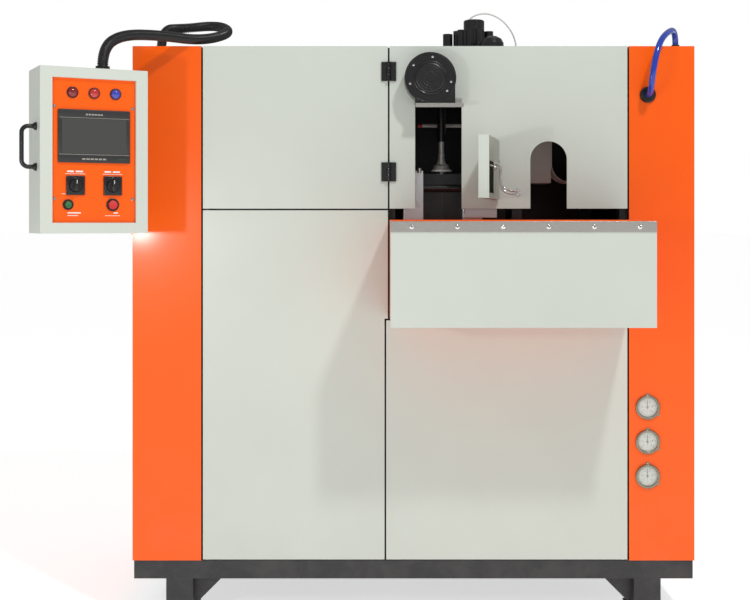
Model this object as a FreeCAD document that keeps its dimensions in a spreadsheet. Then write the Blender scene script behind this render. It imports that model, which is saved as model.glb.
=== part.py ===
import FreeCAD, Part
import math
import os
import re
import Sketcher

# Two-stage bottle blow moulding machine: cabinet, clamp and blow head, catch tray, blower and swivelling box.
# Millimetres, +Z up. The origin is on the floor at the centre of the four anchor holes; the front faces -Y.

Vector = FreeCAD.Vector
Z_AXIS = Vector(0, 0, 1)

doc = FreeCAD.newDocument("BlowMouldingMachine")
sheet = doc.addObject("Spreadsheet::Sheet", "Sizes")

# ---------------------------------------------------------------- driving dimensions

SIZES = {
    # cabinet
    "cabinet_width": 1680, "cabinet_depth": 800, "cabinet_height": 1538,
    "leg_height": 120, "base_rail_height": 55, "base_rail_width": 60, "base_inset": 4,
    "sheet_gauge": 2, "seam_gap": 5, "fold_depth": 30, "door_depth": 20,
    "left_face": 208, "right_face": 198, "left_bay": 558,
    "upper_door_height": 486, "tube_size": 40, "tube_wall": 3,
    # legs
    "leg_size": 80, "leg_wall": 4, "leg_inset": 140, "foot_length": 170, "foot_plate": 10,
    "anchor_hole": 9, "anchor_offset": 62, "gusset_size": 90, "gusset_plate": 8,
    # lower doors
    "pivot_inset": 12, "pivot_pin": 4, "pin_clearance": 0.05, "tab_plate": 3, "tab_size": 20,
    "door_step": 10,
    # upper front panel
    "slot_left": 79, "slot_width": 139, "slot_height": 318,
    "arch_center": 478, "arch_radius": 54.5, "arch_height": 201,
    # upper door hinges
    "hinge_leaf": 22, "hinge_height": 57, "leaf_plate": 5, "knuckle": 6.5, "hinge_pin": 3,
    "hinge_clearance": 0.4, "hinge_low": 81, "hinge_high": 381,
    # catch tray
    "tray_depth": 330, "tray_height": 290, "tray_drop": 34, "tray_lip": 40, "strip_height": 30,
    "screw_count": 6, "screw_pitch": 124, "screw_shift": 11, "apron_left": 1.5, "apron_right": 12,
    "screw_head": 6.5, "screw_head_height": 3.5,
    "screw_shank": 3, "screw_clearance": 0.2,
    # hatch
    "hatch_hinge": 325, "hatch_width": 250, "hatch_height": 177, "hatch_depth": 30, "hatch_low": 27,
    "hatch_gap": 5, "hatch_angle": 102.5, "hatch_pin": 3, "hatch_barrel": 5.5,
    "lining_plate": 2, "window_low": 15, "window_height": 90, "window_width": 108, "window_edge": 6, "bolt_high": 121, "bolt_radius": 3,
    "guide_radius": 3.5, "guide_reach": 74, "guide_place": 118, "guide_stand": 16, "guide_high": 128,
    # blower
    "blower_x": 122, "blower_radius": 76, "blower_depth": 60, "blower_gap": 2, "blower_wall": 2.5,
    "outlet_width": 118, "outlet_left": 45, "outlet_drop": 75, "motor_radius": 44,
    "wheel_clearance": 6, "shelf_width": 141, "shelf_lip": 12, "shelf_flange": 24,
    "blower_screw_ring": 62, "small_head": 3.5, "small_shank": 1.8,
    # gauges
    "gauge_x": 58, "gauge_top": 458, "gauge_pitch": 103, "gauge_case": 31, "gauge_bezel": 36.5,
    "gauge_body": 28, "bezel_height": 7, "gauge_dial": 29.5, "dial_plate": 1, "window_plate": 1.5,
    "gauge_clearance": 0.4, "gauge_lug": 5, "needle_length": 20, "needle_width": 1.8,
    # air inlet and glands
    "grommet_x": 58, "grommet_high": 1392, "grommet_radius": 24, "grommet_lip": 6, "grommet_bore": 12,
    "air_hose_radius": 9, "air_gland_radius": 15, "air_gland_height": 12,
    "hose_radius": 15.5, "gland_radius": 26, "gland_height": 14, "gland_wall": 4,
    # pendant control box
    "pendant_width": 295, "pendant_height": 450, "pendant_depth": 145, "pendant_offset": 0,
    "pendant_base": 981, "pendant_yaw": 27, "pendant_border": 33, "pendant_margin": 29, "pendant_recess": 10,
    "pendant_plate": 3, "pendant_lap": 10,
    "swivel_x": 117, "swivel_y": 170, "swivel_stand": 30, "swivel_pin": 12, "swivel_boss": 22,
    "swivel_high": 48, "boss_height": 60, "lug_plate": 8, "lug_clearance": 0.5,
    "arm_size": 40, "arm_back": 66, "arm_pad": 110, "arm_pad_plate": 8,
    "screen_width": 197, "screen_height": 144, "screen_bezel": 7, "screen_body": 30, "screen_rim": 12,
    "screen_high": 264, "panel_screw_x": 107, "panel_screw_low": 94, "panel_screw_high": 344,
    "lamp_radius": 13, "lamp_pitch": 59, "lamp_high": 382, "lamp_dome": 8, "ring_width": 2.5,
    "ring_height": 4, "stem_radius": 8,
    "start_radius": 12, "start_x": 71, "stop_radius": 15, "stop_x": 51, "button_high": 78,
    "button_rise": 9, "rocker_pitch": 51, "rocker_high": 130, "rocker_frame": 50,
    "rocker_frame_plate": 6, "rocker_size": 34, "rocker_body": 12,
    "handle_reach": 39, "handle_length": 110, "handle_radius": 6, "handle_bend": 18,
    "handle_high": 235, "handle_y": 128, "gland_x": 38, "gland_back": 110,
    # roof air unit
    "regulator_x": 185, "regulator_y": 250, "manifold_height": 22, "manifold_length": 180,
    "manifold_width": 110, "regulator_radius": 50, "regulator_height": 61, "knob_radius": 33,
    "knob_height": 34, "knob_gap": 1, "knob_groove": 4, "side_radius": 15.5, "side_x": 67.5,
    "side_height": 51, "filter_radius": 14.5, "filter_x": 65, "filter_height": 63, "dome_radius": 36,
    "dome_height": 54, "dome_y": 85, "tube_radius": 2.5, "stub_radius": 5, "stub_height": 14,
    # blow head
    "station_x": 92, "station_y": 160, "beam_size": 40, "barrel_radius": 13.5, "barrel_length": 194,
    "head_block": 70, "head_block_height": 40, "shaft_radius": 9, "shaft_length": 170,
    "fit_clearance": 0.06, "bell_radius": 33, "bell_height": 40, "bell_bottom": 1343,
    "flange_height": 7, "stretch_radius": 6, "stretch_length": 250, "nozzle_bore": 6.06,
    # clamp
    "bed_plate": 20, "bed_front": 80, "bed_width": 250, "low_rail": 880,
    "mould_thick": 60, "mould_width": 104, "mould_height": 295, "mould_low": 100,
    "platen_thick": 60, "platen_width": 176, "platen_low": 20, "platen_top": 1337,
    "clamp_room": 90, "end_plate": 30, "tie_radius": 11, "tie_spread_y": 68, "tie_low": 1010,
    "tie_high": 1290, "ram_radius": 14, "ram_body": 45, "ram_length": 110, "bottle_radius": 32,
    "bottle_height": 150, "neck_radius": 13, "cavity_low": 35, "shoulder": 45,
    "valve_x": 64, "valve_width": 97, "valve_depth": 35, "valve_low": 1200,
    # sensor, oven and chute
    "sensor_high": 1494, "sensor_radius": 5.5, "sensor_y": 250, "sensor_left": 22, "sensor_right": 260,
    "hanger_x": 200, "hanger_plate": 6, "hanger_width": 60,
    "oven_left": 590, "oven_length": 280, "oven_front": 120, "oven_depth": 170, "oven_height": 300,
    "oven_plate": 3, "lamp_count": 6, "lamp_tube": 6, "lamp_pitch_z": 42,
    "column_x": 345, "column_width": 89, "column_depth": 110, "column_low": 1309,
    "chute_plate": 3, "chute_bend": 60, "chute_width": 100, "chute_run": 50, "chute_top": 1480,
}

for row, (alias, value) in enumerate(SIZES.items(), start=1):
    sheet.set(f"A{row}", alias)
    sheet.set(f"B{row}", str(value))
    sheet.setAlias(f"B{row}", alias)
doc.recompute()

# Places that several sub-parts share, written with the sheet's names.
FRONT = "(0 - cabinet_depth / 2)"
BACK = "(cabinet_depth / 2)"
BASE = "(leg_height + base_rail_height)"
TOP = "(leg_height + base_rail_height + cabinet_height)"
LEFT_SEAM = "(left_face - cabinet_width / 2)"
RIGHT_SEAM = "(cabinet_width / 2 - right_face)"
MID_SEAM = "(left_face + left_bay - cabinet_width / 2)"
SPLIT = f"({TOP} - upper_door_height - seam_gap / 2)"
RAIL_TOP = f"({TOP} - sheet_gauge)"
POST_TOP = f"({RAIL_TOP} - tube_size)"
POST_FRONT = f"({FRONT} + fold_depth)"
POST_BACK = f"({BACK} - fold_depth - tube_size)"
PANEL_BOTTOM = f"({TOP} - upper_door_height)"
TRAY_TOP = f"({PANEL_BOTTOM} - tray_drop)"
TRAY_BOTTOM = f"({TRAY_TOP} - tray_height)"
TRAY_LEFT = f"({MID_SEAM} + seam_gap / 2)"
TRAY_WIDTH = f"({RIGHT_SEAM} - {MID_SEAM} - seam_gap)"
LOWER_DOOR_TOP = f"({TRAY_BOTTOM} - seam_gap * 2)"
SLOT_LEFT = f"({MID_SEAM} + slot_left)"
SLOT_TOP = f"({PANEL_BOTTOM} + slot_height)"
SHELF_TOP = f"({SLOT_TOP} - 9)"
BLOWER_X = f"({MID_SEAM} + blower_x)"
BLOWER_Z = f"({SHELF_TOP} + outlet_drop)"
BLOWER_BACK = f"({FRONT} - blower_gap)"
HATCH_X = f"({MID_SEAM} + hatch_hinge)"
HATCH_Y = f"({FRONT} - hatch_gap - hatch_barrel)"
GAUGE_X = f"({RIGHT_SEAM} + gauge_x)"
HEAD_Y = f"({FRONT} + station_y)"
BED_TOP = "(low_rail + tube_size + bed_plate)"
SWIVEL_X = "(0 - cabinet_width / 2 - swivel_x)"
SWIVEL_Y = f"({FRONT} - swivel_y)"
PENDANT_LOW = f"({BASE} + pendant_base)"
PENDANT_LEFT = "(0 - pendant_offset - pendant_width / 2)"
PENDANT_FRONT = "(0 - swivel_stand - pendant_depth)"
PANEL_FACE = f"({PENDANT_FRONT} + pendant_recess)"

# Where the two cords enter the roof.
HOSE_END = ("(0 - cabinet_width / 2 + 45)", f"({FRONT} + 235)")
AIR_END = ("(cabinet_width / 2 - 41)", f"({FRONT} + 65)")

# ---------------------------------------------------------------- building helpers

WORD = re.compile(r"[a-z][a-z_0-9]+")
count = {}


def expression(text):
    """The text as a FreeCAD expression: each name of the sheet gets its prefix."""
    return WORD.sub(lambda m: "Sizes." + m.group(0) if m.group(0) in SIZES else m.group(0), str(text))


def number(text):
    """The text's value now, as a plain number."""
    return float(sheet.evalExpression(expression(text)))


def unique(name):
    """A fresh internal name, so that labels stay free for the sub-parts."""
    count[name] = count.get(name, 0) + 1
    return f"{name}_{count[name]}"


def bind(item, **properties):
    """Binds properties of a document object to expressions of the sheet."""
    for name, text in properties.items():
        item.setExpression(name, expression(text))
    return item


def place(item, x="0", y="0", z="0"):
    """Binds an object's position."""
    for axis, text in zip("xyz", (x, y, z)):
        item.setExpression(f"Placement.Base.{axis}", expression(text))
    return item


def box(x, y, z, length, width, height):
    """A block from its lowest corner and its extents along X, Y and Z."""
    made = doc.addObject("Part::Box", unique("block"))
    bind(made, Length=length, Width=width, Height=height)
    return place(made, x, y, z)


TURNS = {
    "x": FreeCAD.Rotation(Vector(0, 1, 0), 90),
    "y": FreeCAD.Rotation(Vector(1, 0, 0), -90),
    "z": FreeCAD.Rotation(),
}


def cylinder(x, y, z, radius, length, axis="z"):
    """A round bar from the centre of its low end, running along +X, +Y or +Z."""
    made = doc.addObject("Part::Cylinder", unique("bar"))
    bind(made, Radius=radius, Height=length)
    made.Placement.Rotation = TURNS[axis]
    return place(made, x, y, z)


def cone(x, y, z, low_radius, high_radius, height):
    """A round taper standing on its low end."""
    made = doc.addObject("Part::Cone", unique("taper"))
    bind(made, Radius1=low_radius, Radius2=high_radius, Height=height)
    return place(made, x, y, z)


def fuse(*items):
    """One solid from several that touch."""
    made = doc.addObject("Part::MultiFuse", unique("union"))
    made.Shapes = list(items)
    made.Refine = True
    return made


def cut(base, *tools):
    """The base less the tools."""
    made = doc.addObject("Part::Cut", unique("difference"))
    made.Base = base
    made.Tool = tools[0] if len(tools) == 1 else group(*tools)
    made.Refine = True
    return made


def group(*items):
    """Separate solids kept together."""
    made = doc.addObject("Part::Compound", unique("group"))
    made.Links = list(items)
    return made


def copy_at(item, x="0", y="0", z="0"):
    """The item again, moved."""
    return place(group(item), x, y, z)


def turned(item, x, y, z, angle):
    """The item, turned about the vertical and then moved."""
    made = place(group(item), x, y, z)
    made.Placement.Rotation = FreeCAD.Rotation(Z_AXIS, 1)
    made.setExpression("Placement.Rotation.Angle", f"({expression(angle)}) * 1 deg")
    return made


def on_pendant(item):
    """A piece modelled about the swivel pin, set in the control box's place."""
    return turned(item, SWIVEL_X, SWIVEL_Y, "0", "pendant_yaw")


def on_hatch(item):
    """A piece modelled on the shut hatch about its hinge pin, swung to where the hatch stands open."""
    return turned(item, HATCH_X, HATCH_Y, "0", "360 - hatch_angle")


def new_body(name):
    return doc.addObject("PartDesign::Body", unique(name))


def base_plane(body, role):
    return next(f for f in body.Origin.OriginFeatures if f.Role == role)


def new_sketch(body, role, offset="0"):
    """A sketch on one of the body's own planes, at an offset along that plane's normal."""
    made = body.newObject("Sketcher::SketchObject", unique("sketch"))
    made.AttachmentSupport = [(base_plane(body, role), "")]
    made.MapMode = "FlatFace"
    made.setExpression("AttachmentOffset.Base.z", expression(offset))
    return made


def fix(sketch, kind, item, point, text):
    """Binds one distance from the sketch's origin to a point."""
    index = sketch.addConstraint(Sketcher.Constraint(kind, -1, 1, item, point, number(text)))
    name = f"size{index}"
    sketch.renameConstraint(index, name)
    sketch.setExpression(f"Constraints.{name}", expression(text))


def draw_outline(sketch, corners, arcs=None):
    """A closed outline. arcs maps a corner's number to the centre of the arc that leaves it and its sense."""
    arcs = arcs or {}
    points = [Vector(number(x), number(y), 0) for x, y in corners]
    first = sketch.GeometryCount
    ends = []
    for i, start in enumerate(points):
        end = points[(i + 1) % len(points)]
        if i in arcs:
            middle = Vector(number(arcs[i][0]), number(arcs[i][1]), 0)
            anticlockwise = arcs[i][2]
            a, b = (start, end) if anticlockwise else (end, start)
            begin = math.atan2(a.y - middle.y, a.x - middle.x)
            stop = math.atan2(b.y - middle.y, b.x - middle.x)
            if stop <= begin:
                stop += 2 * math.pi
            circle = Part.Circle(middle, Z_AXIS, (a - middle).Length)
            sketch.addGeometry(Part.ArcOfCircle(circle, begin, stop), False)
            ends.append((1, 2) if anticlockwise else (2, 1))
        else:
            sketch.addGeometry(Part.LineSegment(start, end), False)
            ends.append((1, 2))
    for i in range(len(points)):
        after = (i + 1) % len(points)
        sketch.addConstraint(
            Sketcher.Constraint("Coincident", first + i, ends[i][1], first + after, ends[after][0]))
    for i, (x, y) in enumerate(corners):
        fix(sketch, "DistanceX", first + i, ends[i][0], x)
        fix(sketch, "DistanceY", first + i, ends[i][0], y)
    for i, (x, y, _) in arcs.items():
        level = abs(points[i].y - points[(i + 1) % len(points)].y) < 1e-6
        fix(sketch, "DistanceY" if level else "DistanceX", first + i, 3, y if level else x)


def draw_circle(sketch, x, y, radius):
    """A circle whose centre and radius are bound."""
    shape = Part.Circle(Vector(number(x), number(y), 0), Z_AXIS, number(radius))
    item = sketch.addGeometry(shape, False)
    fix(sketch, "DistanceX", item, 3, x)
    fix(sketch, "DistanceY", item, 3, y)
    index = sketch.addConstraint(Sketcher.Constraint("Radius", item, number(radius)))
    name = f"size{index}"
    sketch.renameConstraint(index, name)
    sketch.setExpression(f"Constraints.{name}", expression(radius))


def corners_of(left, low, right, high):
    """A rectangle's corners, anticlockwise."""
    return [(left, low), (right, low), (right, high), (left, high)]


def pad(body, sketch, length, backwards=False):
    made = body.newObject("PartDesign::Pad", unique("pad"))
    made.Profile = sketch
    made.Reversed = backwards
    bind(made, Length=length)
    doc.recompute()
    return made


def pocket(body, sketch, length, backwards=False):
    """Cuts a sketch's outline, in the sense that pad uses, and stops if nothing was removed."""
    before = body.Shape.Volume
    made = body.newObject("PartDesign::Pocket", unique("pocket"))
    made.Profile = sketch
    made.Reversed = not backwards
    bind(made, Length=length)
    doc.recompute()
    if made.Shape.Volume > before - 1:
        raise RuntimeError(f"{made.Name} cuts nothing")
    return made


def revolve(name, corners, arcs=None):
    """A turned piece about +Z from half its section: first coordinate outwards, second upwards."""
    body = new_body(name)
    profile = new_sketch(body, "XZ_Plane")
    draw_outline(profile, corners, arcs)
    made = body.newObject("PartDesign::Revolution", unique("turned"))
    made.Profile = profile
    made.ReferenceAxis = (profile, ["V_Axis"])
    made.Angle = 360
    doc.recompute()
    return body


def lay_forward(item, x, y, z):
    """A turned piece with its +Z pointing out of the cabinet's front, at -Y."""
    made = group(item)
    made.Placement.Rotation = FreeCAD.Rotation(Vector(1, 0, 0), 90)
    return place(made, x, y, z)


def radius_at(runs, turn):
    """The arc that fits a corner: 0.45 of the shorter run over the tangent of half the turn."""
    return 0.45 * min(runs) / math.tan(turn / 2)


def rounded_path(points, bend=None):
    """Straight runs joined by tangent arcs, as a wire. Each arc is as large as its runs allow, or bend."""
    edges, radii, at = [], [], points[0]
    for before, corner, after in zip(points, points[1:], points[2:]):
        inward, outward = corner - before, after - corner
        turn = inward.getAngle(outward)
        radius = bend or radius_at((inward.Length, outward.Length), turn)
        reach = radius * math.tan(turn / 2)
        inward.normalize()
        outward.normalize()
        start, end = corner - inward * reach, corner + outward * reach
        toward = outward - inward
        toward.normalize()
        middle = corner + toward * (radius / math.cos(turn / 2) - radius)
        edges.append(Part.LineSegment(at, start).toShape())
        edges.append(Part.Arc(start, middle, end).toShape())
        radii.append(radius)
        at = end
    edges.append(Part.LineSegment(at, points[-1]).toShape())
    return Part.Wire(edges), radii


def tube_along(name, points, radius, bend=None):
    """A round bar along a path of runs and arcs."""
    wire, radii = rounded_path(points, bend)
    start = (points[1] - points[0]).normalize()
    ring = Part.Wire(Part.makeCircle(radius, points[0], start))
    shape = wire.makePipeShell([ring], True, True)
    expected = math.pi * radius ** 2 * wire.Length
    smallest = min(radii) / (2 * radius)
    print(f"{name}: length {wire.Length:.0f}, smallest bend {min(radii):.0f} = {smallest:.1f} diameters")
    if abs(shape.Volume / expected - 1) > 0.01:
        raise RuntimeError(f"{name}'s volume is {shape.Volume:.0f}, not {expected:.0f}")
    made = doc.addObject("Part::Feature", unique("tube"))
    made.Shape = shape
    return made


parts = {}


def finish(name, item):
    """Names a sub-part: its label is its file's name."""
    item.Label = name
    parts[name] = item
    return item


# ---------------------------------------------------------------- frame and casing


def square_tube(x, y, z, length, width, height, wall, along):
    """A hollow square bar along X, Y or Z."""
    inner = {"x": x, "y": y, "z": z}
    extent = {"x": length, "y": width, "z": height}
    for axis in "xyz":
        if axis != along:
            inner[axis] = f"{inner[axis]} + {wall}"
            extent[axis] = f"{extent[axis]} - 2 * {wall}"
    bore = box(inner["x"], inner["y"], inner["z"], extent["x"], extent["y"], extent["z"])
    return cut(box(x, y, z, length, width, height), bore)


def frame_tube(x, y, z, length, width, height, along):
    return square_tube(x, y, z, length, width, height, "tube_wall", along)


def build_legs():
    """Four legs, each a tube with a gusset and a foot plate with its anchor hole."""
    legs = []
    for side in (-1, 1):
        for end in (-1, 1):
            centre_x = f"{side} * (cabinet_width / 2 - leg_inset)"
            edge_y = f"{end} * (cabinet_depth / 2 - base_inset)"
            low_y = edge_y if end < 0 else f"{edge_y} - leg_size"
            tube = square_tube(
                f"{centre_x} - leg_size / 2", low_y, "foot_plate", "leg_size", "leg_size",
                "leg_height - foot_plate", "leg_wall", "z")
            plate_y = edge_y if end < 0 else f"{edge_y} - foot_length"
            plate = box(f"{centre_x} - leg_size / 2", plate_y, "0", "leg_size", "foot_length", "foot_plate")
            hole_y = f"{edge_y} - {end} * (leg_size + anchor_offset)"
            hole = cylinder(centre_x, hole_y, "0 - 1", "anchor_hole", "foot_plate + 2")
            body = new_body("gusset")
            inner_x = f"{centre_x} - {side} * leg_size / 2"
            tip_x = f"{inner_x} - {side} * gusset_size"
            profile = new_sketch(body, "XZ_Plane", f"0 - ({low_y} + leg_size / 2 - gusset_plate / 2)")
            low_z = "(leg_height - gusset_size)"
            draw_outline(profile, [(inner_x, low_z), (inner_x, "leg_height"), (tip_x, "leg_height")])
            pad(body, profile, "gusset_plate", backwards=True)
            legs.append(fuse(tube, cut(plate, hole), body))
    return legs


def build_base_rails():
    """The base ring and its cross rails, resting on the legs."""
    wide = "cabinet_width - 2 * base_inset"
    left = "base_inset - cabinet_width / 2"
    rails = []
    for y in (f"{FRONT} + base_inset", f"{BACK} - base_inset - base_rail_width"):
        rails.append(square_tube(
            left, y, "leg_height", wide, "base_rail_width", "base_rail_height", "tube_wall", "x"))
    between = "cabinet_depth - 2 * base_inset - 2 * base_rail_width"
    crosses = [left, f"{LEFT_SEAM} - base_rail_width / 2", f"{MID_SEAM} - base_rail_width / 2",
               f"{RIGHT_SEAM} - base_rail_width / 2", "cabinet_width / 2 - base_inset - base_rail_width"]
    for x in crosses:
        rails.append(square_tube(
            x, f"{FRONT} + base_inset + base_rail_width", "leg_height", "base_rail_width", between,
            "base_rail_height", "tube_wall", "y"))
    return rails


def build_posts_and_rails():
    """Posts on the three seams, front and back, the top rails and the rails that carry the oven and the bed."""
    tubes = []
    depths = (POST_FRONT, POST_BACK)
    seams = (LEFT_SEAM, MID_SEAM, RIGHT_SEAM)
    for y in depths:
        for seam in seams:
            tubes.append(frame_tube(
                f"{seam} - tube_size / 2", y, BASE, "tube_size", "tube_size", f"{POST_TOP} - {BASE}", "z"))
        tubes.append(frame_tube(
            f"{LEFT_SEAM} - tube_size / 2", y, POST_TOP, f"{RIGHT_SEAM} - {LEFT_SEAM} + tube_size",
            "tube_size", "tube_size", "x"))
        tubes.append(frame_tube(
            f"{LEFT_SEAM} + tube_size / 2", y, f"{SPLIT} - tube_size / 2", "left_bay - tube_size",
            "tube_size", "tube_size", "x"))
        tubes.append(frame_tube(
            f"{MID_SEAM} + tube_size / 2", y, "low_rail", f"{RIGHT_SEAM} - {MID_SEAM} - tube_size",
            "tube_size", "tube_size", "x"))
    start = f"{POST_FRONT} + tube_size"
    between = f"{POST_BACK} - {POST_FRONT} - tube_size"
    for seam in seams:
        tubes.append(frame_tube(
            f"{seam} - tube_size / 2", start, POST_TOP, "tube_size", between, "tube_size", "y"))
    tubes.append(frame_tube(
        f"{LEFT_SEAM} - tube_size / 2", start, f"{SPLIT} - tube_size / 2", "tube_size", between,
        "tube_size", "y"))
    for seam in (MID_SEAM, RIGHT_SEAM):
        tubes.append(frame_tube(
            f"{seam} - tube_size / 2", start, "low_rail", "tube_size", between, "tube_size", "y"))
    tubes.append(frame_tube(
        "oven_length - oven_left", start, f"{SPLIT} - tube_size / 2", "tube_size", between, "tube_size", "y"))
    tubes.append(frame_tube(
        f"{MID_SEAM} + tube_size / 2", f"{HEAD_Y} - beam_size / 2", POST_TOP,
        f"{RIGHT_SEAM} - {MID_SEAM} - tube_size", "beam_size", "tube_size", "x"))
    return tubes


LEFT_PIVOT_X = f"({LEFT_SEAM} + seam_gap / 2 + pivot_inset)"
RIGHT_PIVOT_X = f"({RIGHT_SEAM} - seam_gap / 2 - pivot_inset)"
PIVOT_Y = f"({FRONT} + door_depth / 2)"


def build_pivot_tabs():
    """A tab on each outer front post, over the lower door's top edge, that holds its upper pivot pin."""
    tabs = []
    heights = ((LEFT_PIVOT_X, f"{SPLIT} - tab_plate / 2"), (RIGHT_PIVOT_X, f"{LOWER_DOOR_TOP} + 1.5"))
    for x, z in heights:
        plate = box(
            f"{x} - tab_size / 2", f"{FRONT} + sheet_gauge + 1", z, "tab_size",
            "fold_depth - sheet_gauge - 1", "tab_plate")
        tabs.append(cut(plate, cylinder(x, PIVOT_Y, f"{z} - 1", "pivot_pin + pin_clearance", "tab_plate + 2")))
    return tabs


def build_side_cover(side):
    """One folded sheet: front strip, flank and rear strip, with returns on the posts and along the top."""
    seam = LEFT_SEAM if side < 0 else RIGHT_SEAM
    face = "left_face" if side < 0 else "right_face"
    edge = f"({seam} + {side} * seam_gap / 2)"
    outer = f"({side} * cabinet_width / 2)"
    low_x = outer if side < 0 else edge
    strip = f"({face} - seam_gap / 2)"
    flank_x = outer if side < 0 else f"{outer} - sheet_gauge"
    return_x = f"{edge} - sheet_gauge" if side < 0 else edge
    sheets = [
        box(low_x, FRONT, BASE, strip, "sheet_gauge", "cabinet_height"),
        box(low_x, f"{BACK} - sheet_gauge", BASE, strip, "sheet_gauge", "cabinet_height"),
        box(flank_x, FRONT, BASE, "sheet_gauge", "cabinet_depth", "cabinet_height"),
        box(return_x, FRONT, BASE, "sheet_gauge", "fold_depth", "cabinet_height"),
        box(return_x, f"{BACK} - fold_depth", BASE, "sheet_gauge", "fold_depth", "cabinet_height"),
        box(low_x, FRONT, RAIL_TOP, strip, "fold_depth", "sheet_gauge"),
        box(low_x, f"{BACK} - fold_depth", RAIL_TOP, strip, "fold_depth", "sheet_gauge"),
    ]
    return fuse(*sheets)


def gauge_height(number_down):
    return f"({BASE} + gauge_top - {number_down} * gauge_pitch)"


def build_covers():
    finish("left_side_cover", build_side_cover(-1))
    holes = [
        cylinder(GAUGE_X, f"{FRONT} - 1", gauge_height(i), "gauge_case + gauge_clearance", "sheet_gauge + 2", "y")
        for i in range(3)
    ]
    holes.append(cylinder(
        f"{RIGHT_SEAM} + grommet_x", f"{FRONT} - 1", f"{BASE} + grommet_high",
        "grommet_bore + grommet_lip / 2", "sheet_gauge + 2", "y"))
    finish("right_side_cover", cut(build_side_cover(1), *holes))


def build_roof():
    """The roof sheet between the flanks, resting on the top rails, with the holes under its glands."""
    plate = box(
        "sheet_gauge - cabinet_width / 2", f"{FRONT} + fold_depth", RAIL_TOP,
        "cabinet_width - 2 * sheet_gauge",
        "cabinet_depth - 2 * fold_depth", "sheet_gauge")
    rear = box(
        f"{LEFT_SEAM} + seam_gap / 2", f"{BACK} - fold_depth - 1", RAIL_TOP,
        f"{RIGHT_SEAM} - {LEFT_SEAM} - seam_gap",
        "fold_depth + 1", "sheet_gauge")
    holes = [
        cylinder(x, y, f"{RAIL_TOP} - 1", radius, "sheet_gauge + 2")
        for x, y, radius in (HOSE_END + ("hose_radius",), AIR_END + ("air_hose_radius",))
    ]
    finish("roof_panel", cut(fuse(plate, rear), *holes))


def build_rear_cover():
    """The rear sheet with two blocks of cooling slots."""
    body = new_body("rear_cover")
    left, right = f"{LEFT_SEAM} + seam_gap / 2", f"{RIGHT_SEAM} - seam_gap / 2"
    profile = new_sketch(body, "XZ_Plane", f"0 - ({BACK} - sheet_gauge)")
    draw_outline(profile, corners_of(left, BASE, right, RAIL_TOP))
    pad(body, profile, "sheet_gauge", backwards=True)
    fold = new_sketch(body, "XZ_Plane", f"0 - {BACK}")
    inner_left, inner_right = f"{left} + sheet_gauge", f"{right} - sheet_gauge"
    draw_outline(fold, [
        (left, BASE), (inner_left, BASE), (inner_left, f"{RAIL_TOP} - sheet_gauge"),
        (inner_right, f"{RAIL_TOP} - sheet_gauge"), (inner_right, BASE), (right, BASE), (right, RAIL_TOP),
        (left, RAIL_TOP),
    ])
    pad(body, fold, "fold_depth")
    slots = new_sketch(body, "XZ_Plane", f"0 - ({BACK} - sheet_gauge)")
    for x in (f"{LEFT_SEAM} + 150", f"{RIGHT_SEAM} - 410"):
        draw_outline(slots, corners_of(x, f"{BASE} + 260", f"{x} + 260", f"{BASE} + 268"))
    cut_slots = pocket(body, slots, "sheet_gauge * 2", backwards=True)
    rows = body.newObject("PartDesign::LinearPattern", unique("slot_rows"))
    rows.Originals = [cut_slots]
    rows.Direction = (slots, ["V_Axis"])
    rows.Length = 220
    rows.Occurrences = 12
    body.Tip = rows
    doc.recompute()
    finish("rear_cover", body)


def build_upper_front_panel():
    """The fixed panel round the blow head: its slot and arch are open at the bottom edge."""
    body = new_body("upper_front_panel")
    left, right = f"({MID_SEAM} + seam_gap / 2)", f"({RIGHT_SEAM} - seam_gap / 2)"
    slot_right = f"{SLOT_LEFT} + slot_width"
    arch_x = f"({MID_SEAM} + arch_center)"
    spring = f"({PANEL_BOTTOM} + arch_height - arch_radius)"
    corners = [
        (left, PANEL_BOTTOM), (SLOT_LEFT, PANEL_BOTTOM), (SLOT_LEFT, SLOT_TOP), (slot_right, SLOT_TOP),
        (slot_right, PANEL_BOTTOM), (f"{arch_x} - arch_radius", PANEL_BOTTOM),
        (f"{arch_x} - arch_radius", spring), (f"{arch_x} + arch_radius", spring),
        (f"{arch_x} + arch_radius", PANEL_BOTTOM), (right, PANEL_BOTTOM), (right, TOP), (left, TOP),
    ]
    face = new_sketch(body, "XZ_Plane", f"0 - {FRONT}")
    draw_outline(face, corners, {6: (arch_x, spring, False)})
    pad(body, face, "sheet_gauge", backwards=True)
    fold = new_sketch(body, "XZ_Plane", f"0 - {FRONT}")
    draw_outline(fold, [
        (left, PANEL_BOTTOM), (f"{left} + sheet_gauge", PANEL_BOTTOM),
        (f"{left} + sheet_gauge", f"{TOP} - sheet_gauge"), (f"{right} - sheet_gauge", f"{TOP} - sheet_gauge"),
        (f"{right} - sheet_gauge", PANEL_BOTTOM), (right, PANEL_BOTTOM), (right, TOP), (left, TOP),
    ])
    pad(body, fold, "fold_depth", backwards=True)
    finish("upper_front_panel", body)


def build_door_shell(name, corners, inner):
    """A folded door: its outline at full depth, hollowed from the back to one sheet."""
    body = new_body(name)
    outline = new_sketch(body, "XZ_Plane", f"0 - {FRONT}")
    draw_outline(outline, corners)
    pad(body, outline, "door_depth", backwards=True)
    hollow = new_sketch(body, "XZ_Plane", f"0 - ({FRONT} + sheet_gauge)")
    draw_outline(hollow, inner)
    pocket(body, hollow, "door_depth", backwards=True)
    return body


def inset_corners(left, low, right, high):
    return corners_of(
        f"{left} + sheet_gauge", f"{low} + sheet_gauge", f"{right} - sheet_gauge", f"{high} - sheet_gauge")


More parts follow.
